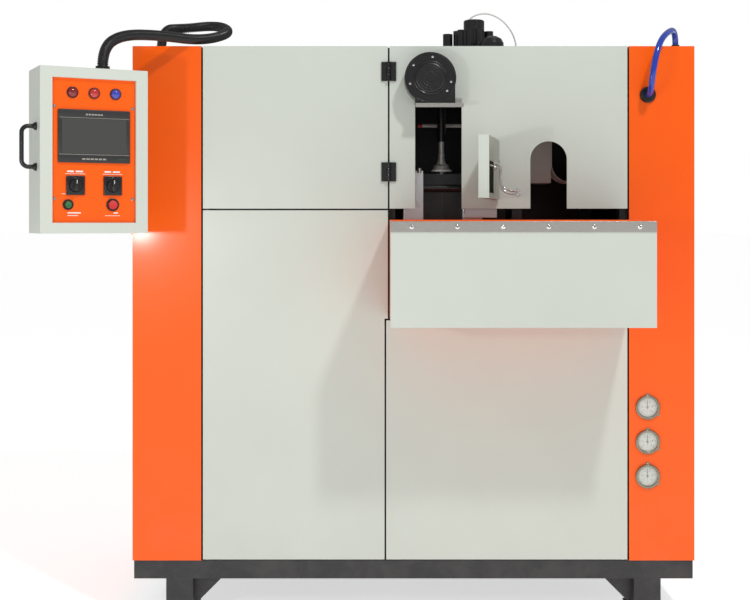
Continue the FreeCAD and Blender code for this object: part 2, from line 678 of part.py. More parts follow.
def build_doors():
    """The hinged doors. Each lower door is bored for its two pivot pins."""
    left, right = f"({LEFT_SEAM} + seam_gap / 2)", f"({MID_SEAM} - seam_gap / 2)"
    low = f"({SPLIT} + seam_gap / 2)"
    finish("upper_left_door", build_door_shell(
        "upper_left_door", corners_of(left, low, right, TOP), inset_corners(left, low, right, TOP)))

    low, high = f"({BASE} + 3)", f"({SPLIT} - seam_gap / 2)"
    step = f"({LOWER_DOOR_TOP} + seam_gap)"
    narrow = f"({right} - door_step)"
    outline = [(left, low), (narrow, low), (narrow, step), (right, step), (right, high), (left, high)]
    inner = [
        (f"{left} + sheet_gauge", f"{low} + sheet_gauge"),
        (f"{narrow} - sheet_gauge", f"{low} + sheet_gauge"),
        (f"{narrow} - sheet_gauge", f"{step} + sheet_gauge"),
        (f"{right} - sheet_gauge", f"{step} + sheet_gauge"),
        (f"{right} - sheet_gauge", f"{high} - sheet_gauge"),
        (f"{left} + sheet_gauge", f"{high} - sheet_gauge"),
    ]
    bore = cylinder(LEFT_PIVOT_X, PIVOT_Y, BASE, "pivot_pin + pin_clearance", f"{SPLIT} - {BASE}")
    finish("lower_left_door", cut(build_door_shell("lower_left_door", outline, inner), bore))

    left, right = f"({narrow} + seam_gap)", f"({RIGHT_SEAM} - seam_gap / 2)"
    bore = cylinder(RIGHT_PIVOT_X, PIVOT_Y, BASE, "pivot_pin + pin_clearance", f"{LOWER_DOOR_TOP} - {BASE}")
    shell = build_door_shell(
        "lower_right_door", corners_of(left, low, right, LOWER_DOOR_TOP),
        inset_corners(left, low, right, LOWER_DOOR_TOP))
    finish("lower_right_door", cut(shell, bore))


# ---------------------------------------------------------------- hinges

HINGE_Y = f"({FRONT} - knuckle - 0.3)"


def hinge_base(which):
    return f"({PANEL_BOTTOM} + {which})"


def hinge_leaf(side, base):
    """One leaf on the door or the panel: the door's has the outer two knuckles, the panel's the middle one."""
    third = "hinge_height / 3"
    plate_x = f"{MID_SEAM} - hinge_leaf" if side < 0 else MID_SEAM
    plate = box(plate_x, f"{FRONT} - leaf_plate", base, "hinge_leaf", "leaf_plate", "hinge_height")
    own = [0, 2] if side < 0 else [1]
    other = [1] if side < 0 else [0, 2]
    knuckles = [cylinder(MID_SEAM, HINGE_Y, f"{base} + {i} * {third}", "knuckle", third) for i in own]
    room = [
        cylinder(
            MID_SEAM, HINGE_Y, f"{base} + {i} * {third} - hinge_clearance", "knuckle + hinge_clearance",
            f"{third} + 2 * hinge_clearance")
        for i in other
    ]
    bore = cylinder(MID_SEAM, HINGE_Y, f"{base} - 1", "hinge_pin + pin_clearance", "hinge_height + 2")
    return cut(fuse(plate, *knuckles), bore, *room)


def build_hinges():
    places = [hinge_base("hinge_low"), hinge_base("hinge_high")]
    finish("hinge_leaves_fixed", group(*[hinge_leaf(1, z) for z in places], hatch_leaf()))
    finish("hinge_leaves_door", group(*[hinge_leaf(-1, z) for z in places]))
    pins = [cylinder(MID_SEAM, HINGE_Y, z, "hinge_pin", "hinge_height") for z in places]
    pins.append(cylinder(
        HATCH_X, HATCH_Y, f"{PANEL_BOTTOM} + hatch_low", "hatch_pin", "hatch_height"))
    pins.append(cylinder(LEFT_PIVOT_X, PIVOT_Y, BASE, "pivot_pin", "door_depth"))
    pins.append(cylinder(RIGHT_PIVOT_X, PIVOT_Y, BASE, "pivot_pin", "door_depth"))
    pins.append(cylinder(
        LEFT_PIVOT_X, PIVOT_Y, f"{SPLIT} - door_depth", "pivot_pin", "door_depth + tab_plate / 2"))
    pins.append(cylinder(
        RIGHT_PIVOT_X, PIVOT_Y, f"{LOWER_DOOR_TOP} - door_depth", "pivot_pin",
        "door_depth + 1.5 + tab_plate"))
    pins.append(cylinder(
        SWIVEL_X, SWIVEL_Y, f"{PENDANT_LOW} + swivel_high - boss_height / 2 - lug_plate - 4", "swivel_pin",
        "boss_height + 2 * lug_plate + 8"))
    finish("hinge_pins", group(*pins))


# ---------------------------------------------------------------- catch tray


def tray_holes(height):
    """The bores for the strip's screws, through strip, apron and tray."""
    return [
        cylinder(
            screw_x(i), f"{FRONT} - tray_depth - 20", height, "screw_shank + screw_clearance", "40", "y")
        for i in range(SIZES["screw_count"])
    ]


def screw_x(i):
    middle = (SIZES["screw_count"] - 1) / 2
    return f"({TRAY_LEFT} + {TRAY_WIDTH} / 2 + screw_shift + {i - middle} * screw_pitch)"


def build_screw(head, height, shank, length):
    """A round-headed screw standing on z = 0, its shank below."""
    return revolve("screw", [
        ("0", f"0 - ({length})"), (shank, f"0 - ({length})"), (shank, "0"), (head, "0"),
        (head, f"{height} / 3"), (f"{head} * 0.7", height), ("0", height),
    ])


def build_tray():
    """The open-topped tray on the posts, its apron, the strip along its rim and the strip's screws."""
    front = f"({FRONT} - tray_depth)"
    screw_z = f"({TRAY_TOP} - 4 - strip_height / 2)"
    reach = "tray_depth + fold_depth"
    right = f"{TRAY_LEFT} + {TRAY_WIDTH} - sheet_gauge"
    body = fuse(
        box(TRAY_LEFT, front, TRAY_BOTTOM, TRAY_WIDTH, "tray_depth", "sheet_gauge"),
        box(TRAY_LEFT, front, TRAY_BOTTOM, TRAY_WIDTH, "sheet_gauge", "tray_height"),
        box(TRAY_LEFT, f"{FRONT} - sheet_gauge", TRAY_BOTTOM, TRAY_WIDTH, "sheet_gauge", "tray_lip"),
        box(TRAY_LEFT, front, TRAY_BOTTOM, "sheet_gauge", reach, "tray_height"),
        box(right, front, TRAY_BOTTOM, "sheet_gauge", reach, "tray_height"))
    finish("catch_tray", cut(body, *tray_holes(screw_z)))
    apron = box(
        f"{TRAY_LEFT} - apron_left", f"{front} - sheet_gauge", f"{TRAY_BOTTOM} - 4",
        f"{TRAY_WIDTH} + apron_left + apron_right", "sheet_gauge", "tray_height")
    finish("tray_apron", cut(apron, *tray_holes(screw_z)))
    strip = box(
        f"{TRAY_LEFT} - apron_left", f"{front} - 2 * sheet_gauge", f"{TRAY_TOP} - 4 - strip_height",
        f"{TRAY_WIDTH} + apron_left + apron_right", "sheet_gauge", "strip_height")
    finish("tray_strip", cut(strip, *tray_holes(screw_z)))
    screw = build_screw("screw_head", "screw_head_height", "screw_shank", "14")
    screws = [
        lay_forward(screw, screw_x(i), f"{front} - 2 * sheet_gauge", screw_z)
        for i in range(SIZES["screw_count"])
    ]
    ring = build_screw("small_head", "2", "small_shank", "blower_wall")
    for angle in (84, 143, 196, -38, -11):
        away_x = f"({BLOWER_X} + blower_screw_ring * {math.cos(math.radians(angle)):.5f})"
        away_z = f"({BLOWER_Z} + blower_screw_ring * {math.sin(math.radians(angle)):.5f})"
        screws.append(lay_forward(ring, away_x, f"{BLOWER_BACK} - blower_depth", away_z))
    finish("front_screws", group(*screws))


# ---------------------------------------------------------------- blower


def build_blower():
    """The cooling fan over the slot: shelf, drum with a square outlet, motor in its inlet and the wheel."""
    shelf_x = f"({SLOT_LEFT} - 1)"
    plate = fuse(
        box(shelf_x, f"{FRONT} - 70", f"{SHELF_TOP} - sheet_gauge", "shelf_width", "70", "sheet_gauge"),
        box(shelf_x, f"{FRONT} - 70", f"{SHELF_TOP} - shelf_lip", "shelf_width", "sheet_gauge", "shelf_lip"),
        box(shelf_x, f"{FRONT} - sheet_gauge", f"{SHELF_TOP} - sheet_gauge", "shelf_width", "sheet_gauge",
            "shelf_flange"))
    low_x = f"({BLOWER_X} - outlet_left)"
    drum_y = f"({BLOWER_BACK} - blower_depth)"
    opening = box(
        f"{low_x} + blower_wall", f"{drum_y} + blower_wall", f"{SHELF_TOP} - 20",
        "outlet_width - 2 * blower_wall",
        "blower_depth - 2 * blower_wall", "40")
    finish("blower_shelf", cut(plate, opening))

    outside = fuse(
        cylinder(BLOWER_X, drum_y, BLOWER_Z, "blower_radius", "blower_depth", "y"),
        box(low_x, drum_y, SHELF_TOP, "outlet_width", "blower_depth", "outlet_drop"))
    inside = fuse(
        cylinder(
            BLOWER_X, f"{drum_y} + blower_wall", BLOWER_Z, "blower_radius - blower_wall",
            "blower_depth - 2 * blower_wall", "y"),
        box(f"{low_x} + blower_wall", f"{drum_y} + blower_wall", f"{SHELF_TOP} - 1",
            "outlet_width - 2 * blower_wall", "blower_depth - 2 * blower_wall", "outlet_drop + 1"))
    bores = [cylinder(BLOWER_X, f"{drum_y} - 1", BLOWER_Z, "motor_radius - 12", "blower_wall + 2", "y")]
    for angle in (84, 143, 196, -38, -11):
        away_x = f"({BLOWER_X} + blower_screw_ring * {math.cos(math.radians(angle)):.5f})"
        away_z = f"({BLOWER_Z} + blower_screw_ring * {math.sin(math.radians(angle)):.5f})"
        bores.append(cylinder(away_x, f"{drum_y} - 1", away_z, "small_shank", "blower_wall + 2", "y"))
    trimmed = cut(outside, box(
        f"{BLOWER_X} - 2 * blower_radius", f"{drum_y} - 1", f"{SHELF_TOP} - 40", "4 * blower_radius",
        "blower_depth + 2", "40"))
    finish("blower_housing", cut(trimmed, inside, *bores))

    motor = revolve("motor", [
        ("0", "blower_depth - 46"), ("4", "blower_depth - 46"), ("4", "blower_depth - 26"),
        ("motor_radius - 14", "blower_depth - 26"), ("motor_radius - 14", "blower_depth"),
        ("motor_radius", "blower_depth"), ("motor_radius", "blower_depth + 5"),
        ("motor_radius - 4", "blower_depth + 7"), ("0", "blower_depth + 7"),
    ])
    finish("blower_motor", lay_forward(motor, BLOWER_X, BLOWER_BACK, BLOWER_Z))

    wheel = revolve("wheel", [
        ("4 + pin_clearance", "10"), ("blower_radius - wheel_clearance - 6", "10"),
        ("blower_radius - wheel_clearance - 6", "12"), ("10", "12"), ("10", "30"),
        ("4 + pin_clearance", "30"),
    ])
    blade = new_sketch(wheel, "XY_Plane", "12")
    draw_outline(blade, corners_of("motor_radius", "0 - 1", "blower_radius - wheel_clearance - 8", "1"))
    first = pad(wheel, blade, "38")
    ring = wheel.newObject("PartDesign::PolarPattern", unique("blades"))
    ring.Originals = [first]
    ring.Axis = (blade, ["N_Axis"])
    ring.Angle = 360
    ring.Occurrences = 18
    wheel.Tip = ring
    doc.recompute()
    finish("blower_wheel", lay_forward(wheel, BLOWER_X, BLOWER_BACK, BLOWER_Z))


# ---------------------------------------------------------------- gauges


def build_gauges():
    """Three pressure gauges: case with bezel and lugs, dial with its spindle, window and pointer."""
    case = revolve("gauge", [
        ("0", "0 - gauge_body"), ("gauge_case", "0 - gauge_body"), ("gauge_case", "0"), ("gauge_bezel", "0"),
        ("gauge_bezel", "bezel_height - 2"), ("gauge_bezel - 2", "bezel_height"),
        ("gauge_dial + 0.6", "bezel_height"), ("gauge_dial + 0.6", "3.5"), ("gauge_dial - 1", "3.5"),
        ("gauge_dial - 1", "0 - 5"), ("0", "0 - 5"),
    ])
    lugs = [
        cylinder(
            f"(gauge_bezel + 1) * {math.cos(math.radians(a)):.5f}",
            f"(gauge_bezel + 1) * {math.sin(math.radians(a)):.5f}", "0", "gauge_lug", "3")
        for a in (90, -35)
    ]
    hollow = cylinder("0", "0", "0 - 1", "gauge_bezel - 3", "12")
    shell = fuse(case, cut(group(*lugs), hollow))
    dial = revolve("dial", [
        ("0", "0 - 5"), ("gauge_dial - 1.3", "0 - 5"), ("gauge_dial - 1.3", "0 - 4"), ("1", "0 - 4"),
        ("1", "2"),
        ("0", "2"),
    ])
    window = revolve("window", [("0", "3.5"), ("gauge_dial", "3.5"), ("gauge_dial", "5"), ("0", "5")])
    arm = box("0 - needle_width / 2", "0 - 6", "0 - 2", "needle_width", "needle_length + 6", "0.8")
    hub = cylinder("0", "0", "0 - 3", "3", "3.5")
    needle = cut(fuse(arm, hub), cylinder("0", "0", "0 - 4", "1 + pin_clearance", "6"))
    spots = [(GAUGE_X, FRONT, gauge_height(i)) for i in range(3)]
    finish("gauge_cases", group(*[lay_forward(shell, *spot) for spot in spots]))
    finish("gauge_dials", group(*[lay_forward(dial, *spot) for spot in spots]))
    finish("gauge_windows", group(*[lay_forward(window, *spot) for spot in spots]))
    for i, spot in enumerate(spots, start=1):
        finish(f"gauge_needle_{i}", lay_forward(needle, *spot))


# ---------------------------------------------------------------- hatch


def build_hatch():
    """The folded hatch over the discharge arch, standing open: shell with knuckles, lining with its bolt, rod."""
    low = f"({PANEL_BOTTOM} + hatch_low)"
    high = f"({low} + hatch_height)"
    near = "(hatch_barrel + 0.5)"
    third = "hatch_height / 3"
    back = "hatch_barrel"
    face = "(hatch_barrel - hatch_depth)"
    shell = cut(
        box(near, face, low, f"hatch_width - {near}", "hatch_depth", "hatch_height"),
        box(f"{near} + sheet_gauge", f"{face} + sheet_gauge", f"{low} + sheet_gauge",
            f"hatch_width - {near} - 2 * sheet_gauge", "hatch_depth", "hatch_height - 2 * sheet_gauge"))
    ends = [low, f"{low} + 2 * {third} + hinge_clearance"]
    barrels = [cylinder("0", "0", z, "hatch_barrel", f"{third} - hinge_clearance") for z in ends]
    straps = [box("0", "2", z, f"{near} + 1", "hatch_barrel - 2", f"{third} - hinge_clearance") for z in ends]
    bore = cylinder("0", "0", f"{low} - 1", "hatch_pin + pin_clearance", "hatch_height + 2")
    finish("hatch_door", on_hatch(cut(fuse(shell, *barrels, *straps), bore)))

    inner_left = f"({near} + sheet_gauge)"
    inner_right = "(hatch_width - sheet_gauge)"
    window_x = f"({inner_right} - window_width - window_edge)"
    window_z = f"({low} + window_low)"
    plate = cut(
        box(inner_left, f"{back} - lining_plate", f"{low} + sheet_gauge", f"{inner_right} - {inner_left}",
            "lining_plate", "hatch_height - 2 * sheet_gauge"),
        box(window_x, f"{back} - 10", window_z, "window_width", "20", "window_height"))
    bolt_z = f"{PANEL_BOTTOM} + bolt_high"
    bolt = cylinder(
        f"{window_x} - 5", f"{back} - lining_plate - bolt_radius", bolt_z, "bolt_radius", "window_width + 8", "x")
    finish("hatch_lining", on_hatch(group(plate, bolt)))

    rod_z = number(f"{PANEL_BOTTOM} + guide_high")
    at, start, reach = number("guide_place"), number(back), number("guide_reach")
    stand = start + number("guide_stand")
    points = [
        Vector(at, start, rod_z), Vector(at, stand, rod_z), Vector(at, stand + 1, rod_z - 62),
        Vector(at, stand + 16, rod_z - 84), Vector(at, reach, rod_z - 90),
    ]
    rod = tube_along("guide rod", points, number("guide_radius"))
    knob = cylinder(
        "guide_place", "guide_reach - 3", f"{PANEL_BOTTOM} + guide_high - 90", "2 * guide_radius", "5", "y")
    foot = cylinder("guide_place", back, f"{PANEL_BOTTOM} + guide_high", "2 * guide_radius", "3", "y")
    finish("guide_rod", on_hatch(fuse(rod, knob, foot)))


def hatch_leaf():
    """The fixed half of the hatch's hinge: its leaf on the panel and the middle knuckle."""
    low = f"({PANEL_BOTTOM} + hatch_low)"
    third = "hatch_height / 3"
    middle = f"({low} + {third} + hinge_clearance)"
    height = f"({third} - hinge_clearance)"
    leaf = box(
        f"{HATCH_X} - 18", f"{HATCH_Y} + hatch_barrel + hinge_clearance", low, "18",
        "hatch_gap - hinge_clearance", "hatch_height")
    block = box(f"{HATCH_X} - hatch_barrel", HATCH_Y, middle, "hatch_barrel", "hatch_barrel + 2", height)
    barrel = cylinder(HATCH_X, HATCH_Y, middle, "hatch_barrel", height)
    bore = cylinder(HATCH_X, HATCH_Y, f"{middle} - 1", "hatch_pin + pin_clearance", f"{height} + 2")
    return cut(fuse(leaf, block, barrel), bore)


# ---------------------------------------------------------------- control box on its arm


def pendant_z(text):
    return f"({PENDANT_LOW} + {text})"


def build_arm():
    """The fixed arm: pad on the flank, square tube out and forward, and the boss round the swivel pin."""
    high = f"({PENDANT_LOW} + swivel_high)"
    low = f"({high} - arm_size / 2)"
    flank = "(0 - cabinet_width / 2)"
    run_y = f"({FRONT} + arm_back)"
    pad_plate = box(
        f"{flank} - arm_pad_plate", f"{run_y} - arm_pad / 2", f"{high} - arm_pad / 2", "arm_pad_plate",
        "arm_pad",
        "arm_pad")
    outward = box(
        f"{SWIVEL_X} - arm_size / 2", f"{run_y} - arm_size / 2", low,
        f"{flank} - {SWIVEL_X} + arm_size / 2 - arm_pad_plate", "arm_size", "arm_size")
    forward = box(
        f"{SWIVEL_X} - arm_size / 2", SWIVEL_Y, low, "arm_size", f"{run_y} - {SWIVEL_Y}", "arm_size")
    boss = cylinder(SWIVEL_X, SWIVEL_Y, f"{high} - boss_height / 2", "swivel_boss", "boss_height")
    bore = cylinder(
        SWIVEL_X, SWIVEL_Y, f"{high} - boss_height", "swivel_pin + pin_clearance", "2 * boss_height")
    finish("pendant_arm", cut(fuse(pad_plate, outward, forward, boss), bore))


def build_enclosure():
    """The box: walls, front border with its returns, gland hole, and the two lugs that carry it on the pin."""
    outer = box(PENDANT_LEFT, PENDANT_FRONT, PENDANT_LOW, "pendant_width", "pendant_depth", "pendant_height")
    inner = box(
        f"{PENDANT_LEFT} + sheet_gauge", f"{PENDANT_FRONT} + sheet_gauge", f"{PENDANT_LOW} + sheet_gauge",
        "pendant_width - 2 * sheet_gauge", "pendant_depth - 2 * sheet_gauge",
        "pendant_height - 2 * sheet_gauge")
    edge_x, edge_z = f"({PENDANT_LEFT} + pendant_border)", f"({PENDANT_LOW} + pendant_margin)"
    wide, tall = "(pendant_width - 2 * pendant_border)", "(pendant_height - 2 * pendant_margin)"
    returns = box(
        f"{edge_x} - sheet_gauge", PENDANT_FRONT, f"{edge_z} - sheet_gauge", f"{wide} + 2 * sheet_gauge",
        "pendant_recess", f"{tall} + 2 * sheet_gauge")
    opening = box(edge_x, f"{PENDANT_FRONT} - 1", edge_z, wide, "pendant_recess + 2", tall)
    lugs = []
    under = "swivel_high - boss_height / 2 - lug_clearance - lug_plate"
    for z in (under, "swivel_high + boss_height / 2 + lug_clearance"):
        lugs.append(box(
            "0 - swivel_boss", "0 - swivel_stand", pendant_z(z), "2 * swivel_boss", "swivel_stand",
            "lug_plate"))
        lugs.append(cylinder("0", "0", pendant_z(z), "swivel_boss", "lug_plate"))
    bore = cylinder("0", "0", PENDANT_LOW, "swivel_pin + pin_clearance", "pendant_height")
    gland_hole = cylinder(
        "gland_x", "0 - gland_back", f"{PENDANT_LOW} + pendant_height - 10", "hose_radius - gland_wall", "20")
    shell = cut(fuse(cut(outer, inner), returns, *lugs), opening, bore, gland_hole)
    finish("pendant_enclosure", on_pendant(shell))


def forward_on_pendant(item, x, z, out="0"):
    """A turned piece pointing out of the control panel's face, placed in the box's own frame."""
    return lay_forward(item, x, f"({PANEL_FACE} - {out})", z)


def build_pendant_panel():
    """The recessed plate, bored for the screen, lamps, buttons and knobs."""
    wide, tall = "(pendant_width - 2 * pendant_border)", "(pendant_height - 2 * pendant_margin)"
    plate = box(
        f"{PENDANT_LEFT} + pendant_border - pendant_lap", PANEL_FACE,
        f"{PENDANT_LOW} + pendant_margin - pendant_lap", f"{wide} + 2 * pendant_lap", "pendant_plate",
        f"{tall} + 2 * pendant_lap")
    behind = f"({PANEL_FACE} - 1)"
    holes = [box(
        "0 - screen_width / 2 + screen_rim", behind,
        pendant_z("screen_high - screen_height / 2 + screen_rim"),
        "screen_width - 2 * screen_rim", "20", "screen_height - 2 * screen_rim")]
    spots = [(f"{i} * lamp_pitch", "lamp_high") for i in (-1, 0, 1)]
    spots += [("0 - start_x", "button_high"), ("stop_x", "button_high")]
    holes += [
        cylinder(x, behind, pendant_z(z), "stem_radius + hinge_clearance", "20", "y") for x, z in spots
    ]
    holes += [
        cylinder(f"{side} * rocker_pitch", behind, pendant_z("rocker_high"), "rocker_body + 1", "20", "y")
        for side in (-1, 1)
    ]
    holes += [
        cylinder(f"{side} * panel_screw_x", behind, pendant_z(z), "2", "20", "y")
        for side in (-1, 1) for z in ("panel_screw_low", "panel_screw_high")
    ]
    finish("pendant_panel", on_pendant(cut(plate, *holes)))
    screw = build_screw("4.5", "2.5", "2", "pendant_plate + 3")
    screws = [
        forward_on_pendant(screw, f"{side} * panel_screw_x", pendant_z(z))
        for side in (-1, 1) for z in ("panel_screw_low", "panel_screw_high")
    ]
    finish("panel_screws", on_pendant(group(*screws)))


def build_screen():
    """The operator screen: bezel on the panel, recessed glass and the body behind the panel."""
    left, low = "0 - screen_width / 2", pendant_z("screen_high - screen_height / 2")
    bezel = box(left, f"{PANEL_FACE} - screen_bezel", low, "screen_width", "screen_bezel", "screen_height")
    glass = box(
        f"{left} + 6", f"{PANEL_FACE} - screen_bezel - 1", f"{low} + 22", "screen_width - 12", "2.5",
        "screen_height - 44")
    body = box(
        f"{left} + screen_rim + 1", PANEL_FACE, f"{low} + screen_rim + 1",
        "screen_width - 2 * screen_rim - 2",
        "screen_body", "screen_height - 2 * screen_rim - 2")
    finish("hmi_terminal", on_pendant(fuse(cut(bezel, glass), body)))


def ring_on_panel(radius):
    """The collar round a lamp or button."""
    return revolve("collar", [
        (f"{radius} + hinge_clearance", "0"), (f"{radius} + ring_width", "0"),
        (f"{radius} + ring_width", "ring_height - 1"), (f"{radius} + ring_width - 1", "ring_height"),
        (f"{radius} + hinge_clearance", "ring_height"),
    ])


def build_controls():
    """Lamps, buttons and knobs with their collars and square frames."""
    lamp_ring = ring_on_panel("lamp_radius")
    rings = [
        forward_on_pendant(lamp_ring, f"{i} * lamp_pitch", pendant_z("lamp_high")) for i in (-1, 0, 1)
    ]
    rings.append(forward_on_pendant(ring_on_panel("start_radius"), "0 - start_x", pendant_z("button_high")))
    rings.append(forward_on_pendant(ring_on_panel("stop_radius"), "stop_x", pendant_z("button_high")))
    for side in (-1, 1):
        x = f"{side} * rocker_pitch"
        plate = box(
            f"{x} - rocker_frame / 2", f"{PANEL_FACE} - rocker_frame_plate",
            pendant_z("rocker_high - rocker_frame / 2 - 1"), "rocker_frame", "rocker_frame_plate",
            "rocker_frame + 2")
        body = cylinder(x, f"{PANEL_FACE} - 1", pendant_z("rocker_high"), "rocker_body", "22", "y")
        bore = cylinder(
            x, f"{PANEL_FACE} - 10", pendant_z("rocker_high"), "4 + pin_clearance", "40", "y")
        rings.append(cut(fuse(plate, body), bore))
    finish("switch_bezels", on_pendant(group(*rings)))

    lamp = revolve("lamp", [
        ("0", "0 - 14"), ("stem_radius", "0 - 14"), ("stem_radius", "0"), ("lamp_radius", "0"),
        ("lamp_radius", "4"), ("lamp_radius * 0.75", "lamp_dome - 1.5"), ("0", "lamp_dome"),
    ])
    lamps = [forward_on_pendant(lamp, f"{i} * lamp_pitch", pendant_z("lamp_high")) for i in (-1, 0, 1)]
    finish("pilot_lamps", on_pendant(group(*lamps)))

    buttons = (("start_button", "start_radius", "0 - start_x"), ("stop_button", "stop_radius", "stop_x"))
    for name, radius, x in buttons:
        button = revolve(name, [
            ("0", "0 - 18"), ("stem_radius", "0 - 18"), ("stem_radius", "5"), (radius, "5"),
            (radius, "button_rise - 1"), (f"{radius} - 1", "button_rise"), ("0", "button_rise"),
        ])
        finish(name, on_pendant(forward_on_pendant(button, x, pendant_z("button_high"))))

    for name, side in (("selector_left", -1), ("selector_right", 1)):
        knob = revolve(name, [
            ("0", "0 - 18"), ("4", "0 - 18"), ("4", "rocker_frame_plate + 0.4"),
            ("rocker_size / 2", "rocker_frame_plate + 0.4"), ("rocker_size / 2", "rocker_frame_plate + 4"),
            ("rocker_size / 2 - 1", "rocker_frame_plate + 5"), ("0", "rocker_frame_plate + 5"),
        ])
        x = f"{side} * rocker_pitch"
        grip = box(
            "0 - 4", "0 - rocker_size / 2 + 2", "rocker_frame_plate + 5", "8", "rocker_size - 4", "9")
        whole = forward_on_pendant(fuse(knob, grip), x, pendant_z("rocker_high"))
        finish(name, on_pendant(whole))


def build_handle():
    """The bow handle on the box's left wall, with a foot plate at each end."""
    wall = number(PENDANT_LEFT)
    reach = wall - number("handle_reach")
    y = -number("handle_y")
    low = number(pendant_z("handle_high - handle_length / 2"))
    high = number(pendant_z("handle_high + handle_length / 2"))
    points = [Vector(wall, y, low), Vector(reach, y, low), Vector(reach, y, high), Vector(wall, y, high)]
    bow = tube_along("handle", points, number("handle_radius"), number("handle_bend"))
    feet = [
        cylinder(
            f"{PENDANT_LEFT} - 4", "0 - handle_y", pendant_z(f"handle_high + {side} * handle_length / 2"),
            "handle_radius + 5", "4", "x")
        for side in (-1, 1)
    ]
    finish("pendant_handle", on_pendant(fuse(bow, *feet)))


def gland(radius, height, neck):
    """A flanged gland standing on z = 0 with a plain top face for its hose."""
    return revolve("gland", [
        ("0", "0"), (radius, "0"), (radius, f"{height} * 0.35"), (neck, f"{height} * 0.6"), (neck, height),
        ("0", height),
    ])


def build_glands():
    top = f"({PENDANT_LOW} + pendant_height)"
    piece = place(group(gland("gland_radius", "gland_height", "hose_radius + gland_wall")),
                  "gland_x", "0 - gland_back", top)
    finish("pendant_gland", on_pendant(piece))
    roof = [
        place(group(gland("gland_radius", "gland_height", "hose_radius + gland_wall")), *HOSE_END, TOP),
        place(group(gland("air_gland_radius", "air_gland_height", "air_hose_radius + 3")), *AIR_END, TOP),
    ]
    grommet = revolve("grommet", [
        ("0", "0 - 6"), ("grommet_bore + grommet_lip / 2 - 0.2", "0 - 6"),
        ("grommet_bore + grommet_lip / 2 - 0.2", "0"), ("grommet_radius", "0"), ("grommet_radius", "5"),
        ("grommet_radius - 4", "9"), ("0", "9"),
    ])
    roof.append(lay_forward(grommet, f"{RIGHT_SEAM} + grommet_x", FRONT, f"{BASE} + grommet_high"))
    finish("cable_glands", group(*roof))


def pendant_point(x, y, z):
    """A point of the control box's frame, in the machine's."""
    angle = math.radians(number("pendant_yaw"))
    local = Vector(number(x), number(y), number(z))
    return Vector(
        number(SWIVEL_X) + local.x * math.cos(angle) - local.y * math.sin(angle),
        number(SWIVEL_Y) + local.x * math.sin(angle) + local.y * math.cos(angle), local.z)


def build_cords():
    """The control hose from the box to the roof and the air hose from the front grommet to the roof."""
    top = number(TOP)
    front = number(FRONT)
    left = -number("cabinet_width / 2")
    start = pendant_point("gland_x", "0 - gland_back", f"{PENDANT_LOW} + pendant_height + gland_height")
    end = Vector(number(HOSE_END[0]), number(HOSE_END[1]), top + number("gland_height"))
    points = [
        start, start + Vector(0, 0, 52), start + Vector(42, 48, 96),
        Vector(left + 94, front - 98, top + 18), Vector(left + 202, front + 34, top + 20),
        Vector(left + 278, front + 170, top + 65), Vector(left + 222, front + 302, top + 111),
        Vector(left + 98, front + 334, top + 105), end + Vector(0, 0, 73), end,
    ]
    finish("control_hose", tube_along("control_hose", points, number("hose_radius")))
    start = Vector(number(f"{RIGHT_SEAM} + grommet_x"), front - 9, number(f"{BASE} + grommet_high"))
    end = Vector(number(AIR_END[0]), number(AIR_END[1]), top + number("air_gland_height"))
    points = [
        start, start + Vector(0, -32, 0), start + Vector(-2, -58, 36), start + Vector(6, -60, 93),
        Vector(end.x - 76, front - 52, top + 2), Vector(end.x - 46, front - 12, top + 38),
        end + Vector(0, 0, 50), end,
    ]
    finish("air_hose", tube_along("air_hose", points, number("air_hose_radius")))


# ---------------------------------------------------------------- air unit on the roof


